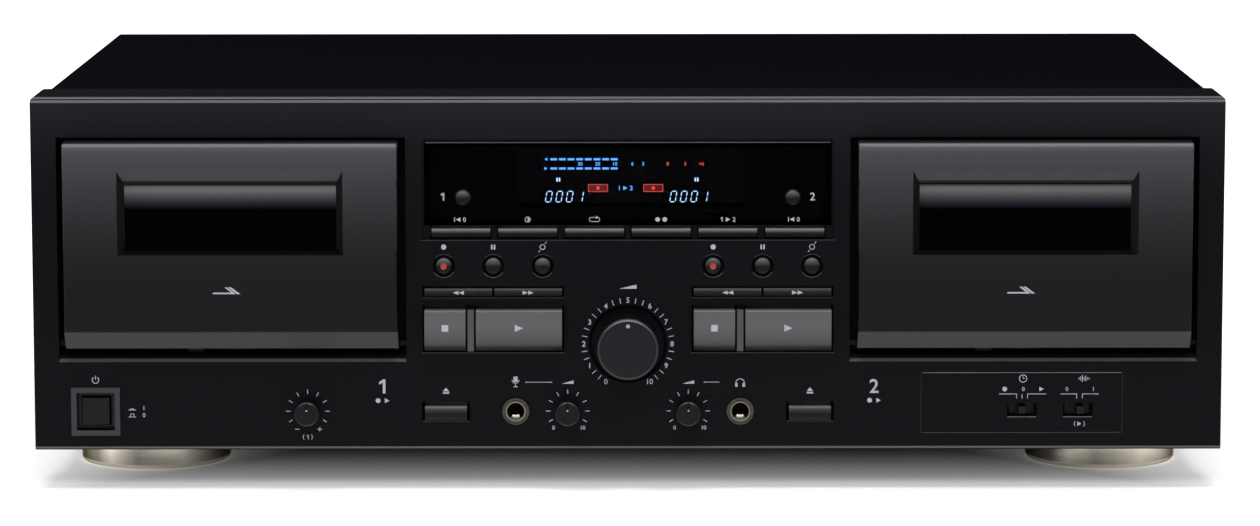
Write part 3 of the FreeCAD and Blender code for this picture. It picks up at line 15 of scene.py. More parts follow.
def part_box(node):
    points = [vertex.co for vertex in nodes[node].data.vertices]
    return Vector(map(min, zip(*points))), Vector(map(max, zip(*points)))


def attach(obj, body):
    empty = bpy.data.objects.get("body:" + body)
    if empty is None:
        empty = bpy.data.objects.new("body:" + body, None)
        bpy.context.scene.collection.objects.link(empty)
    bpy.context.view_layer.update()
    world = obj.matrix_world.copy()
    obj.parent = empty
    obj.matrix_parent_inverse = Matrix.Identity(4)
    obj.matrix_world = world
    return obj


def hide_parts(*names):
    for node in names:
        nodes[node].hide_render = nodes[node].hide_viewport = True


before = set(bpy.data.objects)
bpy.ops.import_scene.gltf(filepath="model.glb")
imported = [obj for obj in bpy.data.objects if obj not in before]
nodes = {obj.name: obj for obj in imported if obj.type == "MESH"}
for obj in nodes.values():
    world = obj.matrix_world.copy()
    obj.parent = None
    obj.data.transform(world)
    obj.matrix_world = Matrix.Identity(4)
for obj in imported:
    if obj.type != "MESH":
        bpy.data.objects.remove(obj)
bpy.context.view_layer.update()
MM = 0.001
DECKS = ("1", "2")

# ---- Camera ----
# A long lens stands 1.6 m in front of the panel, 0.3 m up, and looks slightly down at it.
# The frame is wider than it is high, so the sensor width is that of its long side.
CAMERA_PLACE = (-0.43 * MM, -1744.0 * MM, 312.9 * MM)
CAMERA_TILT, CAMERA_YAW, CAMERA_ROLL = (math.radians(a) for a in (7.0937, 0.0436, -0.0400))
camera_lens = bpy.data.cameras.new("camera")
camera_lens.sensor_width = 36
camera_lens.lens = 127.595
camera_lens.shift_y = -0.06
camera_lens.clip_end = 60
camera = bpy.data.objects.new("camera", camera_lens)
turn = (Matrix.Rotation(-CAMERA_YAW, 4, "Z") @ Matrix.Rotation(math.pi / 2 - CAMERA_TILT, 4, "X")
        @ Matrix.Rotation(CAMERA_ROLL, 4, "Z"))
camera.matrix_world = Matrix.Translation(CAMERA_PLACE) @ turn
bpy.context.scene.collection.objects.link(camera)
bpy.context.scene.camera = camera
bpy.context.scene.view_settings.view_transform = "Standard"


# ---- Studio: pale floor, soft lamps ----
# The deck stands on a wide pale sheet. A soft lamp hangs over it, a larger one in front fills
# the face, and three faint ones stand left, right and behind.
def node(tree, kind, **values):
    """A shader node of this kind, with plain settings and socket values given by name."""
    made = tree.nodes.new(kind)
    for key, value in values.items():
        if hasattr(made, key):
            setattr(made, key, value)
        else:
            made.inputs[key.replace("_", " ")].default_value = value
    return made


def new_material(name):
    """An empty node material and its tree."""
    material = bpy.data.materials.new(name)
    material.use_nodes = True
    material.node_tree.nodes.clear()
    return material, material.node_tree


def soft_lamp(name, place, aim, width, depth, watts, colour=(1, 1, 1)):
    """A rectangular lamp at a place, turned so that its face looks at the aim point."""
    data = bpy.data.lights.new(name, "AREA")
    data.shape = "RECTANGLE"
    data.size, data.size_y = width, depth
    data.energy = watts
    data.color = colour
    lamp = bpy.data.objects.new(name, data)
    lamp.location = place
    lamp.rotation_euler = (Vector(aim) - Vector(place)).to_track_quat("-Z", "Y").to_euler()
    bpy.context.scene.collection.objects.link(lamp)


soft_lamp("lamp_over", (0, -0.30, 1.15), (0, -0.12, 0), 1.1, 0.5, 10)
soft_lamp("lamp_front", (0, -1.9, 1.55), (0, 0, 0.05), 1.8, 0.8, 20)
soft_lamp("lamp_left", (-1.78, -0.92, 0.42), (0, -0.06, 0.03), 0.85, 0.80, 5)
soft_lamp("lamp_right", (2.0, 0.1, 0.75), (0, 0.02, 0.08), 1.0, 0.9, 6)
soft_lamp("lamp_back", (-1.3, 2.0, 0.9), (0, 0.05, 0.08), 1.2, 0.8, 4)

FLOOR_HALF = 14
floor_mesh = bpy.data.meshes.new("floor")
floor_corners = np.array([[-1, -1, 0], [1, -1, 0], [1, 1, 0], [-1, 1, 0]]) * FLOOR_HALF
floor_mesh.from_pydata(floor_corners.tolist(), [], [(0, 1, 2, 3)])
floor = bpy.data.objects.new("floor", floor_mesh)
bpy.context.scene.collection.objects.link(floor)

# Seen directly or in gloss, the sheet gains the white of a lit backdrop. That glow is whole from
# GLOW_REACH away, falls to GLOW_BESIDE right beside the deck, and dies out within SHADOW_REACH
# under it, which paints the deck's shadow round and under it. Before the deck it fades between
# FRONT_LIT and FRONT_DARK, painted shade on the floor towards the camera. The painted shadow
# reaches a little beyond the deck's own footprint.
SHADE_HALF, SHADE_MIDDLE, SHADOW_REACH = (0.2215, 0.1477), 0.0028, 0.11
GLOW_BESIDE, GLOW_REACH, FRONT_LIT, FRONT_DARK = 0.55, 0.5, -0.22, -0.5
sheet_look, tree = new_material("pale_sheet")


def measured(tree, operation, *inputs, clamp=False):
    """A Math node over sockets or plain numbers."""
    made = node(tree, "ShaderNodeMath", operation=operation, use_clamp=clamp)
    for slot, value in enumerate(inputs):
        if isinstance(value, (int, float)):
            made.inputs[slot].default_value = value
        else:
            tree.links.new(value, made.inputs[slot])
    return made.outputs[0]


def along(tree, axis):
    """The Object coordinate along one axis, in metres."""
    coords = node(tree, "ShaderNodeTexCoord")
    split = node(tree, "ShaderNodeSeparateXYZ")
    tree.links.new(coords.outputs["Object"], split.inputs[0])
    return split.outputs[axis]


def rising(tree, value, start, end, power=None):
    """0 before start and 1 after end of a value, which may run down from start to end: smooth
    between, or the share of the way raised to a power."""
    ramp = node(tree, "ShaderNodeMapRange", interpolation_type="LINEAR" if power else "SMOOTHSTEP")
    ramp.inputs["From Min"].default_value = min(start, end)
    ramp.inputs["From Max"].default_value = max(start, end)
    if start > end:
        ramp.inputs["To Min"].default_value, ramp.inputs["To Max"].default_value = 1, 0
    tree.links.new(value, ramp.inputs["Value"])
    return measured(tree, "POWER", ramp.outputs[0], power) if power else ramp.outputs[0]


def where(tree, axis, start, end, power=None):
    """The same over one Object coordinate, in metres."""
    return rising(tree, along(tree, axis), start, end, power)


def both(tree, first, second):
    """The product of two 0 to 1 amounts."""
    return measured(tree, "MULTIPLY", first, second)


beyond_x = measured(tree, "SUBTRACT", measured(tree, "ABSOLUTE", along(tree, "X")),
                    SHADE_HALF[0])
from_middle = measured(tree, "SUBTRACT", along(tree, "Y"), SHADE_MIDDLE)
beyond_y = measured(tree, "SUBTRACT", measured(tree, "ABSOLUTE", from_middle), SHADE_HALF[1])
outside = measured(tree, "MAXIMUM", beyond_x, beyond_y)
# Painted shadow: the glow thins beside the deck and dies out under it.
inner = measured(tree, "POWER", measured(tree, "ADD", measured(
    tree, "DIVIDE", outside, SHADOW_REACH), 1.0, clamp=True), 2.0)
outer = both(tree, measured(tree, "DIVIDE", outside, GLOW_REACH, clamp=True), 1 - GLOW_BESIDE)
glow_share = both(tree, measured(tree, "ADD", both(tree, inner, GLOW_BESIDE), outer),
                  where(tree, "Y", FRONT_DARK, FRONT_LIT))
rays = node(tree, "ShaderNodeLightPath")
seen = measured(tree, "MAXIMUM", rays.outputs["Is Camera Ray"], rays.outputs["Is Glossy Ray"])
seen = measured(tree, "MAXIMUM", seen, rays.outputs["Is Transmission Ray"])
matt = node(tree, "ShaderNodeBsdfDiffuse", Color=(0.86, 0.86, 0.86, 1))
glow = node(tree, "ShaderNodeEmission", Color=(1, 1, 1, 1))
tree.links.new(measured(tree, "MULTIPLY", glow_share, seen), glow.inputs["Strength"])
added = node(tree, "ShaderNodeAddShader")
tree.links.new(matt.outputs[0], added.inputs[0])
tree.links.new(glow.outputs[0], added.inputs[1])
out = node(tree, "ShaderNodeOutputMaterial")
tree.links.new(added.outputs[0], out.inputs["Surface"])
floor_mesh.materials.append(sheet_look)

world = bpy.data.worlds.new("room")
world.use_nodes = True
world.node_tree.nodes["Background"].inputs["Color"].default_value = (0.95, 0.97, 1, 1)
world.node_tree.nodes["Background"].inputs["Strength"].default_value = 0.14
bpy.context.scene.world = world


# ---- Top cover and chassis ----
# One steel sheet folded down at both sides, painted with a fine-grained satin black, over a
# pan of the same sheet whose rear wall carries the connections.
def finish(name, low, high, rough, metallic=0.0, specular=0.5, grain=(400, 400, 400),
           bump=0.05, detail=3.0):
    """A surface whose colour runs between low and high, and roughness between rough's two
    values, by one noise over Object coordinates stretched by grain; bump lifts it, in mm."""
    material, tree = new_material(name)
    coords = node(tree, "ShaderNodeTexCoord")
    stretch = node(tree, "ShaderNodeMapping")
    stretch.inputs["Scale"].default_value = grain
    tree.links.new(coords.outputs["Object"], stretch.inputs["Vector"])
    noise = node(tree, "ShaderNodeTexNoise", Scale=1.0, Detail=detail, Roughness=0.6)
    tree.links.new(stretch.outputs[0], noise.inputs["Vector"])
    colours = node(tree, "ShaderNodeMix", data_type="RGBA")
    colours.inputs["A"].default_value = (*low, 1)
    colours.inputs["B"].default_value = (*high, 1)
    tree.links.new(noise.outputs["Fac"], colours.inputs["Factor"])
    roughs = node(tree, "ShaderNodeMapRange")
    roughs.inputs["To Min"].default_value, roughs.inputs["To Max"].default_value = rough
    tree.links.new(noise.outputs["Fac"], roughs.inputs["Value"])
    lift = node(tree, "ShaderNodeBump", Strength=1.0, Distance=bump * MM)
    tree.links.new(noise.outputs["Fac"], lift.inputs["Height"])
    shader = node(tree, "ShaderNodeBsdfPrincipled", Metallic=metallic)
    shader.inputs["Specular IOR Level"].default_value = specular
    tree.links.new(colours.outputs["Result"], shader.inputs["Base Color"])
    tree.links.new(roughs.outputs[0], shader.inputs["Roughness"])
    tree.links.new(lift.outputs[0], shader.inputs["Normal"])
    out = node(tree, "ShaderNodeOutputMaterial")
    tree.links.new(shader.outputs[0], out.inputs["Surface"])
    return material


def dress(names, material):
    """Gives CAD nodes a material in place of their own."""
    for name in names:
        nodes[name].data.materials.clear()
        nodes[name].data.materials.append(material)


def leaning(tree, axis, normal="Normal"):
    """How far a surface faces along one axis: that part of its normal."""
    facing = node(tree, "ShaderNodeNewGeometry")
    split = node(tree, "ShaderNodeSeparateXYZ")
    tree.links.new(facing.outputs[normal], split.inputs[0])
    return split.outputs[axis]


def around(tree, x, z, start, end):
    """0 before start and 1 after end by the distance from a line along Y through (x, z), in
    metres, which may run down from start to end."""
    coords = node(tree, "ShaderNodeTexCoord")
    moved = node(tree, "ShaderNodeVectorMath", operation="SUBTRACT")
    moved.inputs[1].default_value = (x, 0, z)
    flat = node(tree, "ShaderNodeVectorMath", operation="MULTIPLY")
    flat.inputs[1].default_value = (1, 0, 1)
    reach = node(tree, "ShaderNodeVectorMath", operation="LENGTH")
    tree.links.new(coords.outputs["Object"], moved.inputs[0])
    tree.links.new(moved.outputs[0], flat.inputs[0])
    tree.links.new(flat.outputs[0], reach.inputs[0])
    return rising(tree, reach.outputs["Value"], start, end)


def blend_in(material, socket, amount, value):
    """Blends a colour or number into one socket of a finish, by a 0 to 1 amount."""
    tree = material.node_tree
    shader = next(n for n in tree.nodes if n.type == "BSDF_PRINCIPLED")
    target = shader.inputs[socket]
    colour = hasattr(value, "__len__")
    mix = node(tree, "ShaderNodeMix", data_type="RGBA" if colour else "FLOAT")
    sockets = [s for s in mix.inputs if s.enabled]
    if target.is_linked:
        tree.links.new(target.links[0].from_socket, sockets[1])
    else:
        sockets[1].default_value = target.default_value
    sockets[2].default_value = (*value, 1) if colour else value
    tree.links.new(amount, sockets[0])
    tree.links.new(next(s for s in mix.outputs if s.enabled), target)


def recolour(material, amount, colour):
    """Blends another colour into a finish, by a 0 to 1 amount."""
    blend_in(material, "Base Color", amount, colour)


cover_paint = finish("satin_black_paint", (0.0024, 0.0023, 0.0038), (0.0038, 0.0036, 0.0054),
                     (0.7, 0.85), specular=0.002, grain=(900, 900, 900), bump=0.03)
cover_tree = cover_paint.node_tree
# Painted shade: the top is darker than the folded-down sides.
folded_down = measured(cover_tree, "GREATER_THAN", measured(
    cover_tree, "ABSOLUTE", leaning(cover_tree, "X")), 0.5)
recolour(cover_paint, folded_down, (0.012, 0.012, 0.0135))
dress(["top_cover"], cover_paint)
pan_paint = finish("rear_black_paint", (0.006, 0.006, 0.0065), (0.010, 0.010, 0.011),
                   (0.5, 0.65), specular=0.2, grain=(700, 700, 700), bump=0.03)
dress(["chassis"], pan_paint)

# ---- Feet ----
# Four turned rings of champagne metal, lathe-brushed round the wall and painted with bright and
# dark reflections in bands round it, with a narrow polished lip at the foot and a rubber pad sunk
# into each.
FOOT_RADIUS, FOOT_TOP, LIP_TOP = 28.25, 18.0, 2.0
foot_metal = finish("champagne_ring", (0.90, 0.83, 0.69), (1.0, 0.94, 0.80), (0.14, 0.22),
                    metallic=1.0, grain=(14, 14, 9000), bump=0.04, detail=3.0)
foot_tree = foot_metal.node_tree
foot_tree.nodes["Principled BSDF"].inputs["Specular Tint"].default_value = (0.30, 0.27, 0.20, 1)


def banded(material, amount, stops):
    """Multiplies a finish's colour by a brightness that runs through (share, value) stops of a
    0 to 1 amount."""
    tree = material.node_tree
    ramp = node(tree, "ShaderNodeValToRGB")
    tree.links.new(amount, ramp.inputs["Fac"])
    elements = ramp.color_ramp.elements
    while len(elements) < len(stops):
        elements.new(0.5)
    for element, (share, value) in zip(elements, stops):
        element.position, element.color = share, (value, value, value, 1)
    colour = tree.nodes["Principled BSDF"].inputs["Base Color"]
    product = node(tree, "ShaderNodeVectorMath", operation="MULTIPLY")
    tree.links.new(colour.links[0].from_socket, product.inputs[0])
    tree.links.new(ramp.outputs["Color"], product.inputs[1])
    tree.links.new(product.outputs[0], colour)


# Painted reflections: the ring's colour is made bright and dark in bands by the wall's bearing, as
# a brushed ring's lathe lines catch a light, alike on opposite sides: (share of a half turn from
# the left, brightness). The wall's bearing is 0 at the front: FRONT_SHARE puts that at the middle,
# and its whole 1 keeps the sum above 0.
FANS = ((0.0, 0.1), (0.25, 0.3), (0.33, 1.0), (0.45, 0.4), (0.65, 0.9), (0.8, 0.4), (1.0, 0.1))
FRONT_SHARE = 1.5
bearing = measured(foot_tree, "ARCTAN2", leaning(foot_tree, "X", "True Normal"), measured(
    foot_tree, "MULTIPLY", leaning(foot_tree, "Y", "True Normal"), -1.0))
banded(foot_metal, measured(foot_tree, "FRACT", measured(
    foot_tree, "ADD", measured(foot_tree, "DIVIDE", bearing, math.pi), FRONT_SHARE)), FANS)
recolour(foot_metal, where(foot_tree, "Z", (LIP_TOP + 0.1) * MM, LIP_TOP * MM),
         (0.86, 0.80, 0.66))
PAD_RISE = 0.45
pad_low = where(foot_tree, "Z", PAD_RISE * MM, (PAD_RISE - 0.1) * MM)
recolour(foot_metal, pad_low, (0.012, 0.012, 0.012))
blend_in(foot_metal, "Metallic", pad_low, 0.0)
blend_in(foot_metal, "Roughness", pad_low, 0.85)


def woven(name, spots):
    """A closed mesh over a grid of points, joined round its second index. Points that meet, as
    at a pole, are merged, and the faces are made to point outwards."""
    rows, columns = spots.shape[:2]
    index = np.arange(rows * columns).reshape(rows, columns)
    ahead = np.roll(index, -1, axis=1)
    quads = np.stack([index[:-1], ahead[:-1], ahead[1:], index[1:]], axis=-1).reshape(-1, 4)
    mesh = bpy.data.meshes.new(name)
    mesh.from_pydata(spots.reshape(-1, 3).tolist(), [], quads.tolist())
    shell = bmesh.new()
    shell.from_mesh(mesh)
    bmesh.ops.remove_doubles(shell, verts=shell.verts, dist=1e-7)
    bmesh.ops.recalc_face_normals(shell, faces=shell.faces)
    shell.to_mesh(mesh)
    shell.free()
    mesh.shade_smooth()
    mesh.set_sharp_from_angle(angle=math.radians(40))
    return mesh


def turned(name, profile, count=36):
    """A profile of (radius, height) pairs in mm, turned round the height axis: each point goes
    to (radius times cosine, radius times sine, height). It starts and ends at radius 0."""
    radius, height = np.array(profile, dtype=float).T * MM
    angle = np.linspace(0, 2 * np.pi, count, endpoint=False)
    spots = np.stack(np.broadcast_arrays(radius[:, None] * np.cos(angle),
                                         radius[:, None] * np.sin(angle), height[:, None]), -1)
    return woven(name, spots)


def placed(name, mesh, body, material, place=None, towards=(0, -1, 0)):
    """An object whose mesh is moved to place with its height axis turned towards a direction,
    and which then rides on a body."""
    if place is not None:
        facing = Vector(towards).to_track_quat("Z", "Y").to_matrix().to_4x4()
        mesh.transform(Matrix.Translation(place) @ facing)
    mesh.materials.append(material)
    made = bpy.data.objects.new(name, mesh)
    bpy.context.scene.collection.objects.link(made)
    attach(made, body)
    return made


low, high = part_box("feet")
foot_x = high.x - FOOT_RADIUS * MM
foot_near, foot_far = low.y + FOOT_RADIUS * MM, high.y - FOOT_RADIUS * MM
FOOT_PROFILE = [(0, FOOT_TOP), (27.9, FOOT_TOP), (FOOT_RADIUS, 17.65), (FOOT_RADIUS, LIP_TOP),
                (28.1, 1.2), (27.6, 0.6), (27.0, PAD_RISE), (25.0, PAD_RISE), (24.6, 0.8),
                (24.2, 0.8), (24.0, 0.3), (23.6, 0), (0, 0)]
spots = ((-foot_x, foot_near), (foot_x, foot_near), (-foot_x, foot_far), (foot_x, foot_far))
for number, (x, y) in enumerate(spots, 1):
    foot = placed(f"foot_{number}", turned("foot", FOOT_PROFILE, 128), "deck", foot_metal,
                  (x, y, 0), (0, 0, 1))
    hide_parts("feet")

# ---- Front panel ----
# A moulded panel in satin blue-black, a little paler towards the top by painted light, where two
# narrow bevels run along its upper edge. Painted highlights lie on the bevels and along the lower
# edge, and painted shade on the top face and under the lower edge.
panel_low, panel_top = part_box("front_panel")[0].z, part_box("front_panel")[1].z
panel_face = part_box("display_window")[0].y - 0.2 * MM
panel_skin = finish("satin_panel", (0.0032, 0.0029, 0.0046), (0.0044, 0.0040, 0.0060),
                    (0.44, 0.52), specular=0.07, grain=(700, 700, 700), bump=0.015)
panel_tree = panel_skin.node_tree
GLEAM_POWER = 2.2
BROW_TOP, BEVEL_BACK, LOWER_EDGE = panel_top - 2.5 * MM, panel_face + 1.6 * MM, panel_low + 1.1 * MM
# Painted light: the face is paler towards the top.
near_top = both(panel_tree,
                where(panel_tree, "Z", panel_top - 48 * MM, panel_top, power=GLEAM_POWER),
                where(panel_tree, "Y", panel_face + 3 * MM, panel_face + 1.5 * MM))
recolour(panel_skin, near_top, (0.0165, 0.0158, 0.0200))
lifted = rising(panel_tree, leaning(panel_tree, "Z"), 0.3, 0.7)
# Painted highlight on the upward faces of the bevels under the top edge.
brow = both(panel_tree, lifted,
            both(panel_tree, where(panel_tree, "Z", BROW_TOP - 0.4 * MM, BROW_TOP),
                 where(panel_tree, "Y", BEVEL_BACK + 0.1 * MM, BEVEL_BACK)))
recolour(panel_skin, brow, (0.105, 0.104, 0.115))
# Painted shade on the panel's top face, which is also made rough.
top_face = both(panel_tree, where(panel_tree, "Z", panel_top - 0.2 * MM, panel_top - 0.1 * MM),
                where(panel_tree, "Y", BEVEL_BACK, BEVEL_BACK + 0.1 * MM))
blend_in(panel_skin, "Roughness", top_face, 0.95)
recolour(panel_skin, top_face, (0.0016, 0.0015, 0.0022))
# Painted highlight along the lower edge's chamfer, and painted shade just under it.
recolour(panel_skin, where(panel_tree, "Z", LOWER_EDGE + 0.2 * MM, LOWER_EDGE),
         (0.125, 0.122, 0.118))
recolour(panel_skin, where(panel_tree, "Z", LOWER_EDGE - 0.6 * MM, LOWER_EDGE - 0.7 * MM),
         (0.002, 0.002, 0.002))
# A painted highlight runs along the front edge of the sloping sill under each door's recess.
SILL_LOW = 47.7 * MM
sills = both(panel_tree, lifted,
             both(panel_tree, where(panel_tree, "Z", SILL_LOW + 1.05 * MM, SILL_LOW + 0.75 * MM),
                  where(panel_tree, "Z", SILL_LOW - 0.5 * MM, SILL_LOW - 0.4 * MM)))
recolour(panel_skin, sills, (0.088, 0.086, 0.093))
# The two bars between the stop and play keys stand proud and are finished as the keys are.
bars = where(panel_tree, "Y", panel_face - 0.2 * MM, panel_face - 0.5 * MM)
recolour(panel_skin, bars, (0.090, 0.088, 0.092))
dress(["front_panel"], panel_skin)

# ---- Doors ----
# Each door is a satin metallic black moulding, palest along its rounded top edge by painted light,
# with painted reflections in warm grey on the bevel over the window and on the sloping strip below,
# and painted shade round the window and on the hinge ears. The pane is smoked acrylic with a
# painted reflection across its upper part: a pale band, bluish at its foot.
door_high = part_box("door_1")[1].z
GLEAM_FOOT, CHIN_TOP, EAR_TOP = 70 * MM, 59.8 * MM, 52.7 * MM
LENS_TOP, LENS_BROW, LENS_SILL = 113.9 * MM, 118.8 * MM, 89.8 * MM
BAND_FOOT = 104.4 * MM
DOOR_FACE = panel_face - 6.0 * MM
door_skin = finish("satin_door", (0.0055, 0.0053, 0.0070), (0.0078, 0.0075, 0.0095),
                   (0.38, 0.44), metallic=0.1, specular=0.14, grain=(60, 900, 1400), bump=0.006)
door_tree = door_skin.node_tree
# Painted light: the face pales towards the top.
recolour(door_skin, where(door_tree, "Z", GLEAM_FOOT, door_high, power=GLEAM_POWER),
         (0.082, 0.080, 0.090))
# Painted highlight and shade in bands under the rounded top edge: where each starts and is whole,
# in mm below it, and its colour.
TOP_BANDS = ((3.6, 2.4, (0.098, 0.097, 0.107)), (2.1, 1.3, (0.148, 0.146, 0.157)),
             (0.9, 0.3, (0.010, 0.010, 0.012)))
for start, end, colour in TOP_BANDS:
    recolour(door_skin,
             where(door_tree, "Z", door_high - start * MM, door_high - end * MM), colour)
# Round the window: painted shade in the gap over the pane and on the sill below it, and a painted
# reflection in warm grey on the bevel over it.
lens_gap = both(door_tree, where(door_tree, "Z", LENS_TOP - 0.6 * MM, LENS_TOP - 0.4 * MM),
                where(door_tree, "Z", LENS_TOP + 1.1 * MM, LENS_TOP + 0.8 * MM))
lens_brow = both(door_tree, where(door_tree, "Z", LENS_TOP + 0.8 * MM, LENS_TOP + 1.1 * MM),
                 where(door_tree, "Z", LENS_BROW + 0.1 * MM, LENS_BROW))
lens_sill = both(door_tree, where(door_tree, "Z", LENS_SILL, LENS_SILL - 0.4 * MM),
                 where(door_tree, "Z", CHIN_TOP + 3 * MM, CHIN_TOP + 4 * MM))
sunk_in = where(door_tree, "Y", DOOR_FACE + 0.05 * MM, DOOR_FACE + 0.1 * MM)
for zone, colour in ((lens_brow, (0.062, 0.060, 0.060)), (lens_gap, (0.004, 0.004, 0.004)),
                     (lens_sill, (0.0006, 0.0006, 0.0008))):
    recolour(door_skin, both(door_tree, zone, sunk_in), colour)
# Painted reflection in warm grey on the sloping strip below the window.
recolour(door_skin, where(door_tree, "Z", CHIN_TOP - 0.2 * MM, CHIN_TOP - 0.5 * MM),
         (0.058, 0.056, 0.053))
# Painted shade: the sides of the window's frame, and the hinge ears below and beside the face.
DOOR_MIDDLE, DOOR_HALF, FRAME_HALF = 144.7 * MM, 60.8 * MM, 42.9 * MM
from_middle = measured(door_tree, "ABSOLUTE", measured(
    door_tree, "SUBTRACT", measured(door_tree, "ABSOLUTE", along(door_tree, "X")), DOOR_MIDDLE))
turned_aside = measured(door_tree, "GREATER_THAN", measured(
    door_tree, "ABSOLUTE", leaning(door_tree, "X")), 0.3)
frame_side = both(door_tree, turned_aside,
                  measured(door_tree, "LESS_THAN", from_middle, FRAME_HALF))
recolour(door_skin, frame_side, (0.0022, 0.0022, 0.0028))
ears = measured(door_tree, "MAXIMUM", measured(door_tree, "GREATER_THAN", from_middle, DOOR_HALF),
                where(door_tree, "Z", EAR_TOP + 0.1 * MM, EAR_TOP))
recolour(door_skin, ears, (0.0015, 0.0015, 0.0015))
pane_skin = finish("smoked_pane", (0.0002, 0.0002, 0.0003), (0.0003, 0.0003, 0.0004),
                   (0.04, 0.06), specular=0.01, grain=(50, 50, 50), bump=0.0)
pane_tree = pane_skin.node_tree
# Painted reflection on the pane: a bluish strip at the foot of a pale band.
recolour(pane_skin,
         both(pane_tree, where(pane_tree, "Z", BAND_FOOT - 0.4 * MM, BAND_FOOT + 1.2 * MM),
              where(pane_tree, "Z", BAND_FOOT + 6 * MM, BAND_FOOT + 3 * MM)),
         (0.0055, 0.0070, 0.0115))
recolour(pane_skin,
         both(pane_tree, where(pane_tree, "Z", BAND_FOOT, BAND_FOOT + 6.6 * MM, power=2.1),
              where(pane_tree, "Z", LENS_TOP - 0.2 * MM, LENS_TOP - 1.8 * MM)),
         (0.172, 0.154, 0.158))
holder_plastic = finish("satin_holder", (0.008, 0.008, 0.008), (0.013, 0.013, 0.014),
                        (0.45, 0.6), specular=0.1, grain=(600, 600, 600), bump=0.02)
BELOW_SILL = 53.0 * MM
# Painted shade where the holder dips below the sill.
recolour(holder_plastic, where(holder_plastic.node_tree, "Z", BELOW_SILL + 0.4 * MM, BELOW_SILL),
         (0.0015, 0.0015, 0.0015))
for deck in DECKS:
    dress([f"door_{deck}"], door_skin)
    dress([f"door_{deck}_window"], pane_skin)
    dress([f"cassette_holder_{deck}"], holder_plastic)

# ---- Wells, spindles, capstans and heads ----
# Behind each door: a matt black moulded well, white spindles, ground steel capstans, and a
# blackened carriage whose heads alone are polished.
well_plastic = finish("matt_well", (0.0040, 0.0040, 0.0042), (0.0075, 0.0075, 0.0080),
                      (0.6, 0.75), specular=0.2, grain=(800, 800, 800), bump=0.03)
spindle_plastic = finish("white_spindle", (0.62, 0.62, 0.59), (0.72, 0.72, 0.69), (0.35, 0.45),
                         grain=(300, 300, 300), bump=0.005)
ground_steel = finish("ground_steel", (0.50, 0.50, 0.50), (0.62, 0.62, 0.61), (0.16, 0.28),
                      metallic=1.0, grain=(60, 2500, 60), bump=0.003)
carriage_black = finish("blackened_carriage", (0.012, 0.012, 0.012), (0.020, 0.020, 0.020),
                        (0.4, 0.55), specular=0.3, grain=(500, 500, 500), bump=0.01)
# Painted shade where the carriage dips below the sill.
recolour(carriage_black, where(carriage_black.node_tree, "Z", BELOW_SILL + 1.0 * MM,
                               BELOW_SILL + 0.6 * MM), (0.0015, 0.0015, 0.0015))
for deck in DECKS:
    dress([f"deck_plate_{deck}"], well_plastic)
    dress([f"supply_spindle_{deck}", f"takeup_spindle_{deck}"], spindle_plastic)
    dress([f"capstan_{deck}"], ground_steel)
    dress([f"head_carriage_{deck}"], carriage_black)

# ---- Keys ----
# Moulded keys: the stop and play keys in a paler satin grey, the slim ones near black, and the
# round ones with a domed cap, red at the middle on the two record keys. Their colour carries
# painted highlights and painted shade in bands from each key's lower edge to its upper one.
def shaded(name, low, high, stops, tint=(1, 1, 1), rough=(0.34, 0.42), specular=0.25):
    """A moulded key's finish, painted lighter and darker through (share, value) stops from its
    lower edge to its upper one: painted highlights and shade, where light would fall on the crown
    of its face as it leans down and up."""
    material = finish(name, [0.93 * part for part in tint], [1.07 * part for part in tint], rough,
                      specular=specular, grain=(700, 700, 700), bump=0.01)
    banded(material, where(material.node_tree, "Z", low, high, power=1.0), stops)
    return material


# Painted highlights and shade from a key's lower edge to its upper one, as (share, brightness)
# stops: the domed keys', and each black row's.
DOME = ((0.0, 0.02), (0.1, 0.03), (0.3, 0.01), (0.5, 0.01), (0.75, 0.09), (0.88, 0.18), (1.0, 0.06))
BLACK_KEYS = {
    "function": ("function_key_1", ((0.0, 0.005), (0.12, 0.035), (0.25, 0.006), (0.5, 0.01),
                                    (0.75, 0.16), (0.88, 0.30), (1.0, 0.03))),
    "wind": ("rewind_1", ((0.0, 0.005), (0.12, 0.025), (0.3, 0.01), (0.5, 0.015), (0.75, 0.06),
                          (0.88, 0.12), (1.0, 0.02))),
    "eject": ("eject_1", ((0.0, 0.02), (0.1, 0.04), (0.3, 0.014), (0.5, 0.012), (0.7, 0.05),
                          (0.88, 0.2), (1.0, 0.03))),
    "round": ("pause_1", DOME), "counter": ("counter_reset_1", DOME)}
black_rows = {}
for row, (example, stops) in BLACK_KEYS.items():
    low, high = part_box(example)
    black_rows[row] = shaded(f"{row}_key_black", low.z, high.z, stops, specular=0.06)
low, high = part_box("play_1")
# Painted highlights and shade on the stop and play keys.
key_grey = shaded("satin_key_grey", low.z, high.z,
                  ((0.0, 0.005), (0.12, 0.01), (0.2, 0.055), (0.3, 0.085), (0.6, 0.12),
                   (0.93, 0.11), (1.0, 0.04)), (1.0, 0.975, 1.02))
small_black = finish("small_part_black", (0.0050, 0.0050, 0.0058), (0.0080, 0.0080, 0.0090),
                     (0.35, 0.45), specular=0.15, grain=(600, 600, 600), bump=0.01)
record_red = finish("record_red", (0.42, 0.025, 0.02), (0.52, 0.035, 0.03), (0.3, 0.4),
                    grain=(600, 600, 600), bump=0.005)


def cap(radius, rise, sunk=0.1):
    """The profile of a domed cap: height falls with the square of the radius, from rise at the
    middle to 0 at the rim, and a short skirt goes down into the key below."""
    steps = np.linspace(0, 1, 9)
    dome = [(radius * t, rise * (1 - t * t)) for t in steps]
    return dome + [(radius, -sunk), (0, -sunk)]


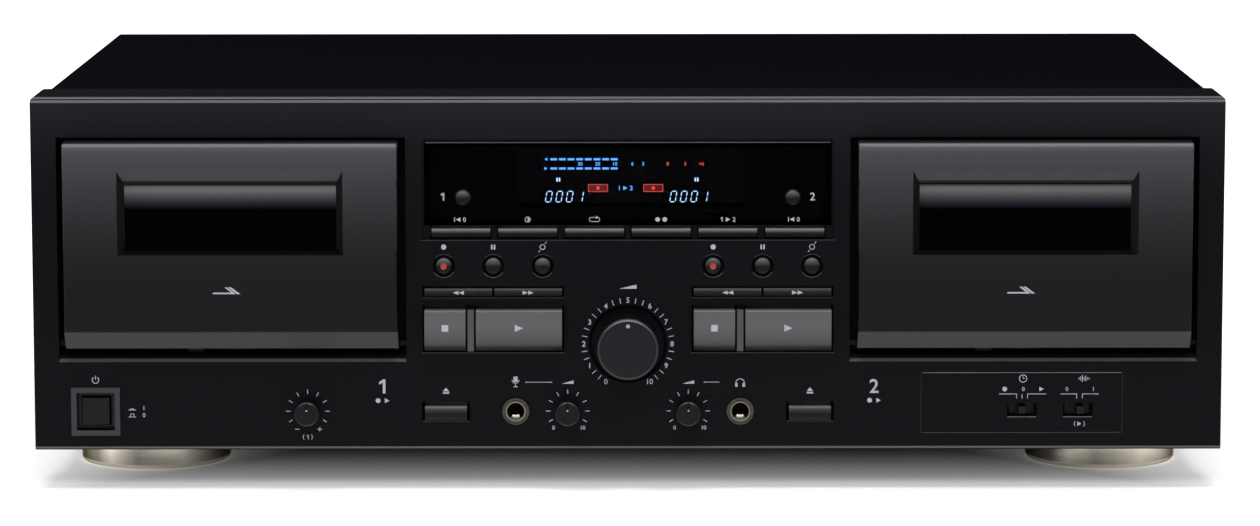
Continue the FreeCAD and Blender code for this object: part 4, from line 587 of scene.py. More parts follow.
for deck in DECKS:
    dress([f"rewind_{deck}", f"forward_{deck}"], black_rows["wind"])
    dress([f"eject_{deck}"], black_rows["eject"])
    dress([f"stop_{deck}", f"play_{deck}"], key_grey)
    for key, radius, rise in (("record", 2.6, 0.45), ("pause", 2.6, 0.45), ("mute", 2.6, 0.45),
                              ("counter_reset", 2.3, 0.35)):
        round_key = black_rows["counter" if key == "counter_reset" else "round"]
        dress([f"{key}_{deck}"], round_key)
        low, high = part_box(f"{key}_{deck}")
        middle = ((low.x + high.x) / 2, low.y, (low.z + high.z) / 2)
        placed(f"{key}_{deck}_cap", turned("cap", cap(radius, rise)), f"{key}_{deck}", round_key,
               middle)
        if key == "record":
            spot = (middle[0], middle[1] - (rise - 0.12) * MM, middle[2])
            placed(f"record_{deck}_spot", turned("spot", cap(1.25, 0.2, 0.2)), f"record_{deck}",
                   record_red, spot)
dress([f"function_key_{n}" for n in range(1, 7)], black_rows["function"])
dress(["timer_switch", "noise_switch"], small_black)
button_black = finish("power_button_black", (0.0055, 0.0056, 0.0074), (0.0082, 0.0084, 0.0108),
                      (0.35, 0.45), specular=0.15, grain=(600, 600, 600), bump=0.01)
dress(["power_button"], button_black)

# ---- Knobs, jacks and power bezel ----
# Turned-looking moulded knobs with a painted highlight round the chamfered rim, brightest above,
# and painted shade on the side beyond it and in the small knobs' notches; warm nickel jack nuts,
# and the power key's square collar in mid grey.
SCALE_X, SCALE_Z, KNOB_Z, JACK_X = 0.0, 54.2, 29.3, 41.15
SMALL_KNOBS = (("pitch_knob", -117.4), ("mic_level_knob", -22.1), ("phones_level_knob", 22.1))
knobs = [("rec_level_knob", SCALE_X, SCALE_Z, 11.3)]
knobs += [(knob, x, KNOB_Z, 4.5) for knob, x in SMALL_KNOBS]
for knob, x, z, radius in knobs:
    large = radius > 5
    tone = 1.0 if large else 0.42
    skin = finish(f"{knob}_satin", (0.0082 * tone, 0.0086 * tone, 0.0112 * tone),
                  (0.0122 * tone, 0.0126 * tone, 0.0158 * tone), (0.3, 0.4), specular=0.14,
                  grain=(500, 500, 500), bump=0.01)
    tree = skin.node_tree
    bevel = (0.9 if large else 0.5) * MM
    rim = radius * MM - bevel
    # Painted highlight: a pale line round the chamfered rim, brightest above; beyond it, painted
    # shade on the knob's side.
    line = around(tree, x * MM, z * MM, rim - 0.12 * MM, rim)
    recolour(skin, line, (0.042, 0.043, 0.048) if large else (0.012, 0.013, 0.016))
    above = where(tree, "Z", (z + 0.45 * radius) * MM, (z + 0.95 * radius) * MM)
    recolour(skin, both(tree, line, above),
             (0.13, 0.131, 0.142) if large else (0.075, 0.076, 0.084))
    below = where(tree, "Z", (z - 0.55 * radius) * MM, (z - 0.95 * radius) * MM)
    recolour(skin, both(tree, line, below), (0.048, 0.048, 0.052))
    recolour(skin, around(tree, x * MM, z * MM, rim + 0.5 * bevel, rim + 0.75 * bevel),
             (0.003, 0.003, 0.0035))
    # Painted shade in the small knobs' notch.
    if not large:
        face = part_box(knob)[0].y
        notch = both(tree, where(tree, "Y", face + 0.05 * MM, face + 0.1 * MM),
                     around(tree, x * MM, z * MM, rim, rim - 0.1 * MM))
        recolour(skin, notch, (0.001, 0.001, 0.001))
    dress([knob], skin)
nickel = finish("warm_nickel", (0.016, 0.014, 0.010), (0.115, 0.105, 0.088), (0.25, 0.4),
                metallic=1.0, grain=(1500, 1500, 1500), bump=0.04)
tree = nickel.node_tree
for x in (-JACK_X, JACK_X):
    lip = both(tree, around(tree, x * MM, KNOB_Z * MM, 3.15 * MM, 3.2 * MM),
               around(tree, x * MM, KNOB_Z * MM, 3.75 * MM, 3.65 * MM))
    recolour(nickel, lip, (0.17, 0.155, 0.13))
dress(["front_jacks"], nickel)
bezel_grey = finish("grey_bezel", (0.034, 0.035, 0.042), (0.046, 0.047, 0.055), (0.3, 0.4),
                    specular=0.2, grain=(600, 600, 600), bump=0.005)
recolour(bezel_grey,
         where(bezel_grey.node_tree, "Y", panel_face - 0.7 * MM, panel_face - 0.5 * MM),
         (0.002, 0.002, 0.0025))
dress(["power_bezel"], bezel_grey)

# ---- Printing ----
# Pale ink screened onto the panel, the doors and the keys: plain numbers, ticks and common
# signs, standing a few hundredths of a millimetre proud.
INK_THICK, BOLDER = 0.03 * MM, 0.012
pale_ink = finish("pale_ink", (0.42, 0.45, 0.50), (0.52, 0.56, 0.61), (0.5, 0.6), specular=0.2,
                  grain=(900, 900, 900), bump=0.002)


def flat_mesh(curve):
    """A filled flat curve as a thin closed mesh. The curve itself is removed."""
    curve.fill_mode = "BOTH"
    curve.extrude = INK_THICK / 2
    holder = bpy.data.objects.new("holder", curve)
    made = bpy.data.meshes.new_from_object(holder)
    bpy.data.objects.remove(holder)
    bpy.data.curves.remove(curve)
    return made


def outlines(loops):
    """A flat curve of closed outlines, each an array of (x, z) in millimetres. An outline
    inside another is a hole."""
    curve = bpy.data.curves.new("outlines", "CURVE")
    curve.dimensions = "2D"
    for loop in loops:
        spline = curve.splines.new("POLY")
        spline.points.add(len(loop) - 1)
        spots = np.c_[np.asarray(loop) * MM, np.zeros(len(loop)), np.ones(len(loop))]
        spline.points.foreach_set("co", spots.ravel())
        spline.use_cyclic_u = True
    return flat_mesh(curve)


def word(text, x, z, height):
    """Text as a flat mesh, scaled so that its box is this high and centred on (x, z)."""
    curve = bpy.data.curves.new("word", "FONT")
    curve.body = text
    curve.resolution_u = 4
    curve.offset = BOLDER
    made = flat_mesh(curve)
    spots = np.empty(len(made.vertices) * 3)
    made.vertices.foreach_get("co", spots)
    spots = spots.reshape(-1, 3)
    low, high = spots[:, :2].min(axis=0), spots[:, :2].max(axis=0)
    grown = height * MM / (high[1] - low[1])
    spots[:, :2] = (spots[:, :2] - (low + high) / 2) * grown + np.array([x, z]) * MM
    made.vertices.foreach_set("co", spots.ravel())
    return made


def printed(name, body, depth, marks=(), words=(), ink=pale_ink):
    """Outlines and words as one thin print, this many mm behind the panel's face."""
    joined = bmesh.new()
    for part in [outlines(marks)] * bool(marks) + [word(*each) for each in words]:
        joined.from_mesh(part)
    joined.transform(Matrix.Translation((0, panel_face + depth * MM, 0))
                     @ Matrix.Rotation(math.pi / 2, 4, "X"))
    mesh = bpy.data.meshes.new(name)
    joined.to_mesh(mesh)
    joined.free()
    return placed(name, mesh, body, ink)


def plate(x, z, width, height):
    """The outline of an upright rectangle about (x, z)."""
    corners = np.array([[-1, -1], [1, -1], [1, 1], [-1, 1]])
    return [corners * (width / 2, height / 2) + (x, z)]


def disc(x, z, radius, count=28):
    """The outline of a disc about (x, z)."""
    angle = np.linspace(0, 2 * np.pi, count, endpoint=False)
    return [np.c_[x + radius * np.cos(angle), z + radius * np.sin(angle)]]


def arc(x, z, inner, outer, start, end, count=22):
    """A band between two radii about (x, z), from start to end degrees."""
    angle = np.radians(np.linspace(start, end, count))
    rim = np.c_[np.cos(angle), np.sin(angle)]
    return [np.r_[rim * outer, rim[::-1] * inner] + (x, z)]


def wedge(x, z, width, height, way=1):
    """A triangle about (x, z) that points along +x for way 1 and along -x for way -1."""
    return [np.array([[-1, -1], [1, 0], [-1, 1]]) * (way * width / 2, height / 2) + (x, z)]


def slope(x, z, width, height):
    """A right-angled triangle that rises towards +x, with the middle of its foot at (x, z)."""
    return [np.array([[-width / 2, 0], [width / 2, 0], [width / 2, height]]) + (x, z)]


def stroke(x0, z0, x1, z1, width):
    """A straight stroke between two points: its corners lie half the width to each side."""
    start, end = np.array([x0, z0]), np.array([x1, z1])
    along = (end - start) / np.hypot(*(end - start))
    aside = np.array([-along[1], along[0]]) * width / 2
    return [np.array([start - aside, end - aside, end + aside, start + aside])]


def ticks(x, z, inner, outer, degrees, width):
    """Radial strokes about (x, z), at angles counted clockwise from straight up."""
    marks = []
    for angle in np.radians(degrees):
        out = np.array([np.sin(angle), np.cos(angle)])
        marks += stroke(*(out * inner + (x, z)), *(out * outer + (x, z)), width)
    return marks


def ring(x, z, radius, line):
    """A circle line about (x, z)."""
    return disc(x, z, radius + line / 2) + disc(x, z, radius - line / 2)


def one(x, z, height):
    """The outline of a plain figure 1 with a flag, about (x, z)."""
    shape = np.array([(0.20, -0.5), (0.20, 0.5), (0.03, 0.5), (-0.25, 0.31), (-0.25, 0.12),
                      (0.01, 0.27), (0.01, -0.5)])
    return [shape * height + (x, z)]


# The record level scale: eleven numbers, 30 degrees apart, with two ticks between
# each pair.
NUMBER_RADIUS = 16.15
sweep = [degrees for degrees in range(-150, 151, 10) if degrees % 30]
scale_numbers = []
for number in range(11):
    angle = math.radians(-150 + 30 * number)
    scale_numbers.append((str(number), SCALE_X + NUMBER_RADIUS * math.sin(angle),
                          SCALE_Z + NUMBER_RADIUS * math.cos(angle), 2.0))
printed("level_scale", "deck", 0, ticks(SCALE_X, SCALE_Z, 15.1, 17.1, sweep, 0.28),
        scale_numbers)
printed("level_sign", "deck", 0, slope(SCALE_X, 74.6, 6.4, 1.5))

# Small knobs: nine ticks each. By the pitch knob a minus, a plus and a bracketed 1, and by each
# level knob 0 and 10.
PLUS_X, PITCH_ENDS_Z, PITCH_ONE_Z, LEVEL_ENDS_Z = -113.1, 22.6, 19.7, 23.1
small_marks = []
for knob, x in SMALL_KNOBS:
    small_marks += ticks(x, KNOB_Z, 6.4, 8.0, np.arange(-120, 121, 30), 0.28)
for start, end in ((-122.2, -120.5), (PLUS_X - 0.9, PLUS_X + 0.9)):
    small_marks += stroke(start, PITCH_ENDS_Z, end, PITCH_ENDS_Z, 0.3)
for start, end in ((-0.8, -0.16), (0.16, 0.8)):
    small_marks += stroke(PLUS_X, PITCH_ENDS_Z + start, PLUS_X, PITCH_ENDS_Z + end, 0.3)
small_marks += one(-117.5, PITCH_ONE_Z, 1.6)
end_words = [("(", -119.0, PITCH_ONE_Z, 2.1), (")", -116.0, PITCH_ONE_Z, 2.1)]
for zero_x, ten_x in ((-27.3, -16.5), (17.1, 27.9)):
    end_words += [("0", zero_x, LEVEL_ENDS_Z, 1.5), ("10", ten_x, LEVEL_ENDS_Z, 1.5)]
printed("small_knob_scales", "deck", 0, small_marks, end_words)

# Signs over the jacks: a microphone and headphones, each joined by a line to a rising wedge
# over its level knob.
MICROPHONE_X, HEADPHONES_X, JOIN_Z = -41.2, 41.1, 40
jack_signs = plate(MICROPHONE_X, 41.1, 1.5, 2.0) + arc(MICROPHONE_X, 40.9, 1.15, 1.4, 180, 360)
jack_signs += plate(MICROPHONE_X, 38.95, 0.28, 1.1) + plate(MICROPHONE_X, 38.3, 1.6, 0.28)
jack_signs += plate(-32.7, JOIN_Z, 9.9, 0.22) + plate(30.6, JOIN_Z, 5.8, 0.22)
jack_signs += arc(HEADPHONES_X, 39.6, 1.45, 1.75, 0, 180)
for side in (-1, 1):
    jack_signs += plate(HEADPHONES_X + side * 1.35, 39.0, 0.9, 1.5)
for knob, x in SMALL_KNOBS[1:]:
    jack_signs += slope(x, 39.4, 4.4, 1.3)
printed("jack_signs", "deck", 0, jack_signs)

# The power sign, and beside the button its two positions: a line with a block that stands low
# on it for 1 and high for 0.
POWER_X, POSITION_X, POSITION_WORD_X = -195.1, -181.8, -177.5
power_signs = arc(POWER_X, 40.9, 1.05, 1.35, 125, 415) + plate(POWER_X, 41.8, 0.3, 1.5)
for z, lift in ((29.8, 0.35), (27.2, 1.1)):
    power_signs += plate(POSITION_X, z, 2.8, 0.22) + plate(POSITION_X, z + lift, 1.4, 0.22)
    for side in (-0.6, 0.6):
        power_signs += plate(POSITION_X + side, z + lift / 2, 0.22, max(lift - 0.24, 0.05))
printed("power_signs", "deck", 0, power_signs,
        [("1", POSITION_WORD_X, 30.5, 1.55), ("0", POSITION_WORD_X, 27.9, 1.55)])

# The two decks' numbers, with a record dot and a play triangle under each.
DECK_NUMBER_Z, DECK_SIGN_Z = 38.5, 33.2
deck_signs = one(-89.9, DECK_NUMBER_Z, 5.2)
for x in (-89.95, 90.25):
    deck_signs += disc(x - 1.65, DECK_SIGN_Z, 0.9) + wedge(x + 1.65, DECK_SIGN_Z, 1.7, 1.8)
printed("deck_numbers", "deck", 0, deck_signs, [("2", 90.2, DECK_NUMBER_Z, 5.2)])

# The switch plate: a clock over the timer switch, a wave over the noise switch, the positions'
# signs with brackets that lead to them, and a bracketed triangle below the noise switch.
CLOCK_X, TITLE_Z, CHOICE_Z, BRACKET_Z, NOTE_Z = 144.8, 41.2, 37.3, 35.5, 24.4
switch_signs = ring(CLOCK_X, TITLE_Z, 1.35, 0.28) + plate(CLOCK_X, TITLE_Z + 0.4, 0.24, 0.85)
switch_signs += plate(CLOCK_X + 0.35, TITLE_Z, 0.5, 0.24)
switch_signs += disc(138.1, CHOICE_Z, 0.85) + wedge(151.6, CHOICE_Z, 1.6, 1.7)
for x, width in ((139.35, 6.5), (149.85, 7.0), (161.6, 6.1), (169.5, 6.1)):
    switch_signs += plate(x, BRACKET_Z, width, 0.24)
for x in (142.48, 144.45, 146.47, 164.53, 166.57):
    switch_signs += plate(x, BRACKET_Z - 0.9, 0.24, 1.56)
for step, height in enumerate((0.7, 1.5, 2.6, 1.2, 2.1, 0.9, 0.5)):
    switch_signs += plate(165.3 + 0.62 * step, TITLE_Z, 0.28, height)
switch_signs += wedge(165.6, NOTE_Z, 1.5, 1.6)
printed("switch_signs", "deck", 0, switch_signs,
        [("0", 144.9, CHOICE_Z, 1.5), ("0", 160.9, CHOICE_Z, 1.5), ("1", 170.6, CHOICE_Z, 1.5),
         ("(", 163.9, NOTE_Z, 2.0), (")", 167.3, NOTE_Z, 2.0)])

# Function keys, from the left: return to zero, dimmer, repeat, record both, copy one to two and
# return to zero, and beside the counter buttons the decks' numbers.
KEY_PITCH, SIGN_Z, COUNTER_Z = 24.36, 100.1, 108.5
zero_1, dimmer, again, record_both, copy, zero_2 = [(n - 2.5) * KEY_PITCH for n in range(6)]
key_signs = []
for x in (zero_1, zero_2):
    key_signs += plate(x - 2.3, SIGN_Z, 0.3, 1.7) + wedge(x - 1.0, SIGN_Z, 1.7, 1.7, -1)
key_signs += ring(dimmer, SIGN_Z, 0.95, 0.25)
outer_and_inner = arc(dimmer, SIGN_Z, 0.0, 0.72, -90, 90)[0]
key_signs += [outer_and_inner[:len(outer_and_inner) // 2]]
key_signs += arc(again - 1.1, SIGN_Z, 0.65, 0.9, 90, 270)
key_signs += arc(again + 1.1, SIGN_Z, 0.65, 0.9, -90, 60)
key_signs += plate(again, SIGN_Z - 0.78, 2.0, 0.24)
key_signs += plate(again - 0.3, SIGN_Z + 0.78, 1.4, 0.24)
key_signs += wedge(again + 1.0, SIGN_Z + 0.78, 0.9, 1.3)
key_signs += disc(record_both - 1.3, SIGN_Z, 0.85) + disc(record_both + 1.3, SIGN_Z, 0.85)
key_signs += wedge(copy, SIGN_Z, 1.6, 1.7) + one(copy - 2.3, SIGN_Z, 1.7)
key_signs += one(-67.5, COUNTER_Z, 2.9)
printed("function_signs", "deck", 0.2, key_signs,
        [("0", zero_1 + 1.3, SIGN_Z, 1.7), ("0", zero_2 + 1.3, SIGN_Z, 1.7),
         ("2", copy + 2.2, SIGN_Z, 1.7), ("2", 67.35, COUNTER_Z, 2.9)])

# Signs on and over each deck's keys: record, pause, mute, wind, stop, play and eject, with the
# tape's arrow on the door.
# The arrow's shaft and its two slanting barbs.
ARROW = (np.array([(-6.5, 0), (1.0, 0), (0.3, 0.55), (-6.5, 0.55)]),
         np.array([(1.0, 0), (1.9, 0), (-1.3, 2.5), (-2.2, 2.5)]),
         np.array([(2.3, 0), (3.6, 0), (0.2, 2.5), (-0.9, 2.5)]))
OVER_ROUND, OVER_EJECT, WIND_Z, PLAY_Z, ARROW_Z = 90, 36.0, 73.3, 60.6, 73.6


def centre_x(name):
    """The middle of a node in X, in millimetres."""
    low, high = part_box(name)
    return (low.x + high.x) / 2 / MM


def on_key(key, marks):
    """Prints marks, drawn about x = 0, on the face of a key."""
    printed(f"{key}_sign", key, (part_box(key)[0].y - panel_face) / MM,
            [mark + (centre_x(key), 0) for mark in marks])


for deck in DECKS:
    over = disc(centre_x(f"record_{deck}"), OVER_ROUND, 0.95)
    x = centre_x(f"pause_{deck}")
    over += plate(x - 0.5, OVER_ROUND, 0.55, 1.8) + plate(x + 0.5, OVER_ROUND, 0.55, 1.8)
    x = centre_x(f"mute_{deck}")
    over += ring(x, OVER_ROUND, 0.9, 0.26)
    over += stroke(x + 0.9, OVER_ROUND + 1.2, x + 1.5, OVER_ROUND + 1.9, 0.26)
    over += stroke(x - 1.5, OVER_ROUND - 1.9, x - 0.9, OVER_ROUND - 1.2, 0.26)
    x = centre_x(f"eject_{deck}")
    over += [np.array([[-1.2, 0], [1.2, 0], [0, 1.4]]) + (x, OVER_EJECT + 0.6)]
    over += plate(x, OVER_EJECT, 2.4, 0.5)
    printed(f"deck_{deck}_signs", "deck", 0, over)
    for key, way in (("rewind", -1), ("forward", 1)):
        on_key(f"{key}_{deck}",
               wedge(-1.0, WIND_Z, 2.0, 1.5, way) + wedge(1.05, WIND_Z, 2.0, 1.5, way))
    on_key(f"stop_{deck}", plate(0, PLAY_Z, 2.4, 2.4))
    on_key(f"play_{deck}", wedge(0, PLAY_Z, 3.0, 2.6))
    printed(f"door_{deck}_arrow", f"door_{deck}", -6.0,
            [part + (centre_x(f"door_{deck}_window"), ARROW_Z) for part in ARROW])

# Painted highlights: thin pale strips along the sills of the recesses, round the switch plate and
# on the rims of the round keys' wells, where fine chamfers catch the light.
chamfer_grey = finish("chamfer_highlight", (0.026, 0.026, 0.028), (0.036, 0.036, 0.039),
                      (0.3, 0.4), specular=0.3, grain=(300, 300, 300), bump=0.002)
bright_chamfer = finish("bright_chamfer", (0.11, 0.11, 0.115), (0.16, 0.16, 0.165), (0.3, 0.4),
                        specular=0.3, grain=(300, 300, 300), bump=0.002)
ROUND_WELL, ROUND_PITCH, ROUND_Z, DECK_KEYS_X, SWITCH_PLATE_X = 4.15, 18.05, 83, 49.2, 144.3
soft_edges = plate(0, 92.5, 151.4, 0.3) + plate(SWITCH_PLATE_X, 21.2, 73.4, 0.3)
rims = []
for side in (-1, 1):
    for step in (-1, 0, 1):
        x = side * DECK_KEYS_X + step * ROUND_PITCH
        rims += arc(x, ROUND_Z, ROUND_WELL, ROUND_WELL + 0.14, 215, 325)
        soft_edges += arc(x, ROUND_Z, ROUND_WELL, ROUND_WELL + 0.25, 45, 135)
    soft_edges += plate(side * DECK_KEYS_X, 50.9, 52.2, 0.35)
    soft_edges += plate(side * DECK_KEYS_X, 71.2, 52.2, 0.2)
    soft_edges += plate(side * 66.7, 25.5, 16.9, 0.3)
    soft_edges += plate(SWITCH_PLATE_X + side * 36.9, 32.3, 0.15, 21.6)
printed("soft_edges", "deck", 0, soft_edges, (), chamfer_grey)
bright_edges = plate(SWITCH_PLATE_X, 43.4, 73.0, 0.3) + rims
for x in (144.4, 164.9):
    bright_edges += plate(x, 27.0, 10.6, 0.3)
printed("bright_edges", "deck", 0, bright_edges, (), bright_chamfer)

# A sprung contact shows low in the bore of each jack.
contacts = [band for x in (-JACK_X, JACK_X) for band in arc(x, KNOB_Z, 1.9, 3.19, 238, 302)]
contact_metal = finish("contact_metal", (0.75, 0.72, 0.64), (0.9, 0.87, 0.8), (0.2, 0.3),
                       metallic=1.0, grain=(900, 900, 900), bump=0.003)
printed("jack_contacts", "deck", 2.4, contacts, (), contact_metal)

# Marks on the knobs: a pale dot in the large knob's dimple, a short pointer on the small ones.
printed("rec_level_mark", "rec_level_knob", -13.7, disc(SCALE_X, SCALE_Z + 8.6, 0.75))
for knob, x in SMALL_KNOBS:
    printed(f"{knob}_mark", knob, -7.3, disc(x, KNOB_Z + 1.3, 0.3, 16))

# ---- Display ----
# A black acrylic window over a fluorescent tube, whose blue and red segments are lit: two level
# bars with their scale, pause bars, the direction of copying between two record frames, and a
# four-figure counter for each deck.
GLOW_DEPTH = 4.42
window_skin = finish("display_acrylic", (0.50, 0.50, 0.54), (0.52, 0.52, 0.56), (0.0, 0.01),
                     specular=0.05, grain=(50, 50, 50), bump=0.0)
window_shader = window_skin.node_tree.nodes["Principled BSDF"]
window_shader.inputs["Transmission Weight"].default_value = 1.0
window_shader.inputs["IOR"].default_value = 1.03
tube_glass = finish("tube_glass", (0.0012, 0.0012, 0.0018), (0.0020, 0.0020, 0.0028),
                    (0.12, 0.16), specular=0.1, grain=(200, 200, 200), bump=0.0)
dress(["display_window"], window_skin)
dress(["display_tube"], tube_glass)


def glowing(name, colour, strength):
    """A phosphor: dark when unlit, with a light of its own that a fine mesh over it varies."""
    material = finish(name, (0.02, 0.02, 0.02), (0.03, 0.03, 0.03), (0.5, 0.6),
                      grain=(2500, 50, 2500))
    shader = material.node_tree.nodes["Principled BSDF"]
    shader.inputs["Emission Color"].default_value = (*colour, 1)
    shader.inputs["Emission Strength"].default_value = strength
    return material


blue_glow = glowing("blue_phosphor", (0.10, 0.36, 0.95), 2.6)
pale_glow = glowing("pale_blue_phosphor", (0.42, 0.66, 1.0), 3.0)
red_glow = glowing("red_phosphor", (1.0, 0.09, 0.06), 1.7)
dim_red_glow = glowing("dim_red_phosphor", (1.0, 0.04, 0.03), 0.16)
LEFT_BAR_Z, RIGHT_BAR_Z, BAR_NUMBERS_Z, PAUSE_Z, COPY_Z, FIGURES_Z = (
    121.75, 118.35, 120.05, 114.25, 111.15, 106.05)
BAR_START, BAR_PITCH, BAR_STEPS = -27.05, 3.155, 8
blue_marks, pale_marks, red_marks, red_fields = [], [], [], []
for z in (LEFT_BAR_Z, RIGHT_BAR_Z):
    for step in range(BAR_STEPS):
        blue_marks += plate(BAR_START + BAR_PITCH * step, z, 2.45, 0.75)
for x in (-25.4, 25.1):
    pale_marks += plate(x - 0.45, PAUSE_Z, 0.5, 1.4) + plate(x + 0.45, PAUSE_Z, 0.5, 1.4)
blue_marks += wedge(-0.9, COPY_Z, 1.5, 1.5)
for x in (-10.9, 9.3):
    red_marks += plate(x, COPY_Z, 7.2, 2.8) + plate(x, COPY_Z, 6.8, 2.4) + disc(x, COPY_Z, 0.62)
    red_fields += plate(x, COPY_Z, 6.7, 2.3)

# Seven strokes of a leaning figure, as (start, end) in shares of its width and height.
FIGURE = {"a": ((0, 1), (1, 1)), "b": ((1, 1), (1, 0.5)), "c": ((1, 0.5), (1, 0)),
          "d": ((1, 0), (0, 0)), "e": ((0, 0), (0, 0.5)), "f": ((0, 0.5), (0, 1))}
LIT = {"0": "abcdef", "1": "bc"}
FIGURE_SIZE, FIGURE_PITCH, FIGURE_LINE, FIGURE_GAP = np.array([2.0, 3.9]), 3.8, 0.29, 0.3
FIGURE_LEAN = math.tan(math.radians(10))
for left in (-30.2, 15.3):
    for place, figure in enumerate("0001"):
        for name in LIT[figure]:
            start, end = (np.array(point) * FIGURE_SIZE for point in FIGURE[name])
            gap = (end - start) / np.hypot(*(end - start)) * FIGURE_GAP
            corners = stroke(*(start + gap), *(end - gap), FIGURE_LINE)[0]
            corners[:, 0] += corners[:, 1] * FIGURE_LEAN + left + FIGURE_PITCH * place
            pale_marks.append(corners + (0, FIGURES_Z))
blue_marks += wedge(-29.9, LEFT_BAR_Z, 1.1, 1.2, -1) + wedge(-29.9, RIGHT_BAR_Z, 1.1, 1.2)
blue_words = [(text, x, BAR_NUMBERS_Z, 1.35) for text, x in
              (("30", -17.4), ("20", -11.0), ("10", -4.6), ("6", 1.7), ("3", 5.6))]
blue_words += [("1", -3.1, COPY_Z, 1.6), ("2", 1.3, COPY_Z, 1.6)]
red_words = [(text, x, BAR_NUMBERS_Z, 1.35) for text, x in
             (("0", 14.6), ("3", 20.95), ("+6", 26.9))]
printed("display_blue", "deck", GLOW_DEPTH, blue_marks, blue_words, blue_glow)
printed("display_pale", "deck", GLOW_DEPTH, pale_marks, (), pale_glow)
printed("display_red", "deck", GLOW_DEPTH, red_marks, red_words, red_glow)
printed("display_red_fields", "deck", GLOW_DEPTH + 0.03, red_fields, (), dim_red_glow)

# Black ink on the back of the window leaves only the tube's opening clear, and two holes for the
# counter reset buttons. A thin grey strip along the window's top edge is a painted highlight.
black_ink = finish("black_ink", (0.0008, 0.0008, 0.0010), (0.0014, 0.0014, 0.0016), (0.6, 0.7),
                   specular=0.05, grain=(500, 500, 500), bump=0.002)
edge_grey = finish("edge_highlight", (0.085, 0.085, 0.095), (0.12, 0.12, 0.13), (0.2, 0.3),
                   specular=0.3, grain=(300, 300, 300), bump=0.002)
mask = plate(0, 113.3, 148.0, 30.2) + plate(1.15, 115.85, 83.9, 23.5)
for x in (-60.2, 60.2):
    mask += disc(x, 108, 2.95)
printed("window_mask", "deck", 2.23, mask, (), black_ink)
printed("window_edge", "deck", 0.2, plate(0, 128.38, 147.6, 0.3), (), edge_grey)

# ---- Heads and inner parts ----
# The tape and erase heads' polished faces, a bare main board, a black-masked control board and
# a lacquered transformer core.
head_steel = finish("polished_head", (0.45, 0.45, 0.46), (0.58, 0.58, 0.60), (0.10, 0.18),
                    metallic=1.0, grain=(900, 60, 900), bump=0.002)
for deck in DECKS:
    carriage = f"head_carriage_{deck}"
    low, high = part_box(carriage)
    printed(f"head_{deck}_face", carriage, (low.y - panel_face) / MM,
            plate(centre_x(carriage), high.z / MM - 5.5, 10.8, 9.0), (), head_steel)
bare_boards = finish("circuit_board", (0.035, 0.16, 0.07), (0.06, 0.26, 0.12), (0.35, 0.5),
                     grain=(300, 300, 300), bump=0.02)
dress(["main_board"], bare_boards)
panel_board = finish("masked_board", (0.003, 0.005, 0.004), (0.005, 0.008, 0.006), (0.5, 0.6),
                     specular=0.2, grain=(300, 300, 300), bump=0.02)
dress(["control_board"], panel_board)
core_steel = finish("lacquered_core", (0.12, 0.12, 0.12), (0.2, 0.2, 0.2), (0.4, 0.5),
                    metallic=0.6, grain=(50, 50, 1500), bump=0.02)
dress(["power_transformer"], core_steel)

# ---- Rear connections ----
# Four line jacks with nickel shells on a black block, white collars for the left channel and red
# for the right, and a two-pin mains inlet in a black flange, its pins black too.
socket_plastic = finish("socket_black", (0.010, 0.010, 0.010), (0.016, 0.016, 0.016),
                        (0.45, 0.6), grain=(600, 600, 600), bump=0.02)
socket_tree = socket_plastic.node_tree
rear_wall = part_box("chassis")[1].y
low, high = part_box("rca_jacks")
LINE_SHELL, LINE_COLLAR, JACK_INSET, JACK_ROWS = 4.15, 5.4, 7.0, (38.0, 52.0)
jack_spots = [(x, z) for x in (low.x / MM + JACK_INSET, high.x / MM - JACK_INSET)
              for z in JACK_ROWS]
past_collar = where(socket_tree, "Y", rear_wall + 1.05 * MM, rear_wall + 1.1 * MM)
for x, z in jack_spots:
    shell = both(socket_tree, past_collar,
                 around(socket_tree, x * MM, z * MM, 3.15 * MM, 3.25 * MM))
    shell = both(socket_tree, shell, around(socket_tree, x * MM, z * MM, 4.4 * MM, 4.2 * MM))
    recolour(socket_plastic, shell, (0.56, 0.55, 0.52))
    blend_in(socket_plastic, "Metallic", shell, 1.0)
    blend_in(socket_plastic, "Roughness", shell, 0.28)
dress(["rca_jacks", "ac_inlet"], socket_plastic)
ring_white = finish("collar_white", (0.60, 0.60, 0.58), (0.68, 0.68, 0.66), (0.4, 0.5),
                    grain=(500, 500, 500), bump=0.003)
ring_red = finish("collar_red", (0.42, 0.022, 0.018), (0.52, 0.032, 0.026), (0.4, 0.5),
                  grain=(500, 500, 500), bump=0.003)
behind = (rear_wall - panel_face) / MM
for name, rows, colour in (("white", jack_spots[1::2], ring_white),
                           ("red", jack_spots[0::2], ring_red)):
    collars = [loop for x, z in rows for loop in disc(x, z, LINE_COLLAR - 0.1)
               + disc(x, z, LINE_SHELL + 0.15)]
    printed(f"line_collars_{name}", "deck", behind + 1.02, collars, (), colour)

# Printed signs: an arrow into a bar for the inputs, one out of a bar for the outputs, a frame
# round the block, and a wave for the mains.
line_x = [jack_spots[0][0], jack_spots[2][0]]
rear_signs = []
for x, way in ((line_x[0], 1), (line_x[1], -1)):
    rear_signs += plate(x - way * 0.7, 61.5, 2.8, 0.35) + wedge(x + way * 1.5, 61.5, 1.8, 1.8, way)
    rear_signs += plate(x + 3.0, 61.5, 0.35, 2.4)
block_x = sum(line_x) / 2
rear_signs += plate(block_x, 47.6, 34.0, 35.0) + plate(block_x, 47.6, 33.5, 34.5)
inlet_x = centre_x("ac_inlet")
rear_signs += arc(inlet_x - 1.0, 56.0, 0.85, 1.15, 0, 180)
rear_signs += arc(inlet_x + 1.0, 56.0, 0.85, 1.15, 180, 360)
printed("rear_signs", "deck", behind, rear_signs)

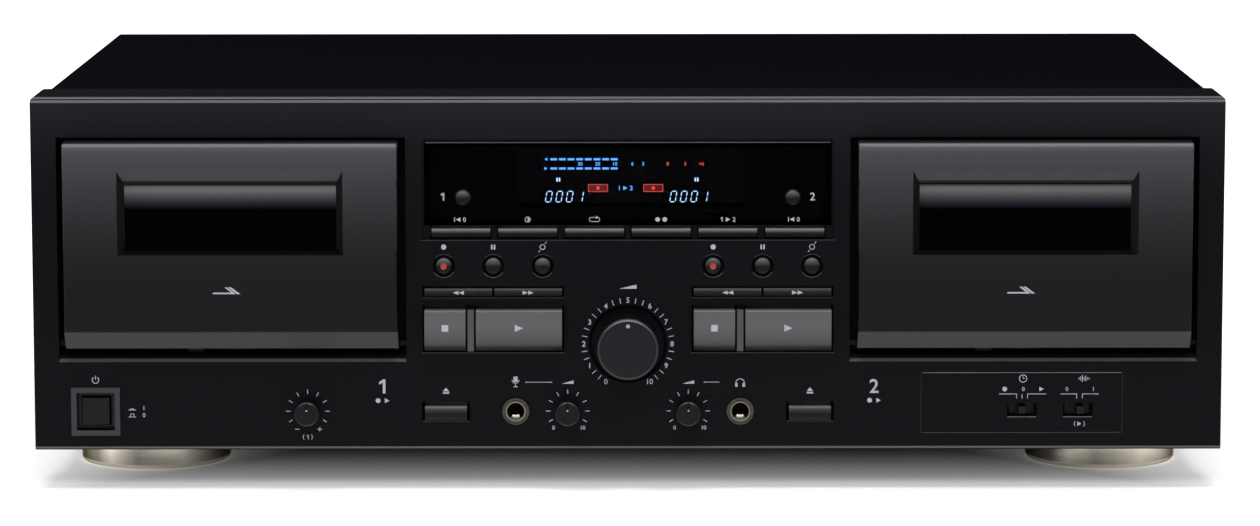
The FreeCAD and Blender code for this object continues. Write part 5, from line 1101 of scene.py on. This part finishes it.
# ---- Screws ----
# Black zinc pan-head screws with a cross recess, where the cover, rear wall and sockets are
# fixed, and bright ones under the pan.
def cross_screw(radius, rise):
    """A pan head over a grid of angle and share of radius: its height falls as the square root
    of one less the share squared, less a cross-shaped recess whose floor is flat."""
    share = np.linspace(0, 1, 18)[:, None]
    angle = np.linspace(0, 2 * np.pi, 64, endpoint=False)[None, :]
    x, y = radius * share * np.cos(angle), radius * share * np.sin(angle)
    near, far = np.minimum(abs(x), abs(y)), np.maximum(abs(x), abs(y))
    arm = (np.clip((0.17 * radius - near) / (0.06 * radius), 0, 1)
           * np.clip((0.62 * radius - far) / (0.12 * radius), 0, 1))
    head = rise * np.sqrt(np.clip(1 - 0.8 * share ** 2, 0, 1)) - 0.75 * rise * arm
    spots = np.stack([x, y, head], -1)
    skirt = spots[-1] * (1, 1, 0) - (0, 0, 0.1)
    spots = np.concatenate([spots, skirt[None], (skirt * (0, 0, 1))[None]]) * MM
    return woven("screw", spots)


black_zinc = finish("black_zinc", (0.030, 0.030, 0.032), (0.075, 0.075, 0.080), (0.28, 0.42),
                    metallic=0.85, grain=(900, 900, 900), bump=0.01)
bright_zinc = finish("bright_zinc", (0.42, 0.42, 0.44), (0.60, 0.60, 0.61), (0.25, 0.38),
                     metallic=1.0, grain=(900, 900, 900), bump=0.01)
low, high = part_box("top_cover")
screw_spots = [((side * high.x, y, 32 * MM), (side, 0, 0), 3.4, black_zinc)
               for side in (-1, 1) for y in (low.y + 38 * MM, high.y - 34 * MM)]
screw_spots += [((x * MM, rear_wall, 136 * MM), (0, 1, 0), 2.9, black_zinc)
                for x in (-200, -68, 68, 200)]
screw_spots += [((block_x * MM, rear_wall, 27.5 * MM), (0, 1, 0), 2.3, black_zinc),
                ((inlet_x * MM, rear_wall, 69 * MM), (0, 1, 0), 2.3, black_zinc)]
low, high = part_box("chassis")
screw_spots += [((x * MM, y, low.z), (0, 0, -1), 2.9, bright_zinc)
                for x in (-130, 0, 130) for y in (low.y + 30 * MM, high.y - 25 * MM)]
for number, (place, towards, radius, metal) in enumerate(screw_spots, 1):
    placed(f"screw_{number}", cross_screw(radius, 0.42 * radius), "deck", metal,
           place, towards)

bpy.context.view_layer.update()
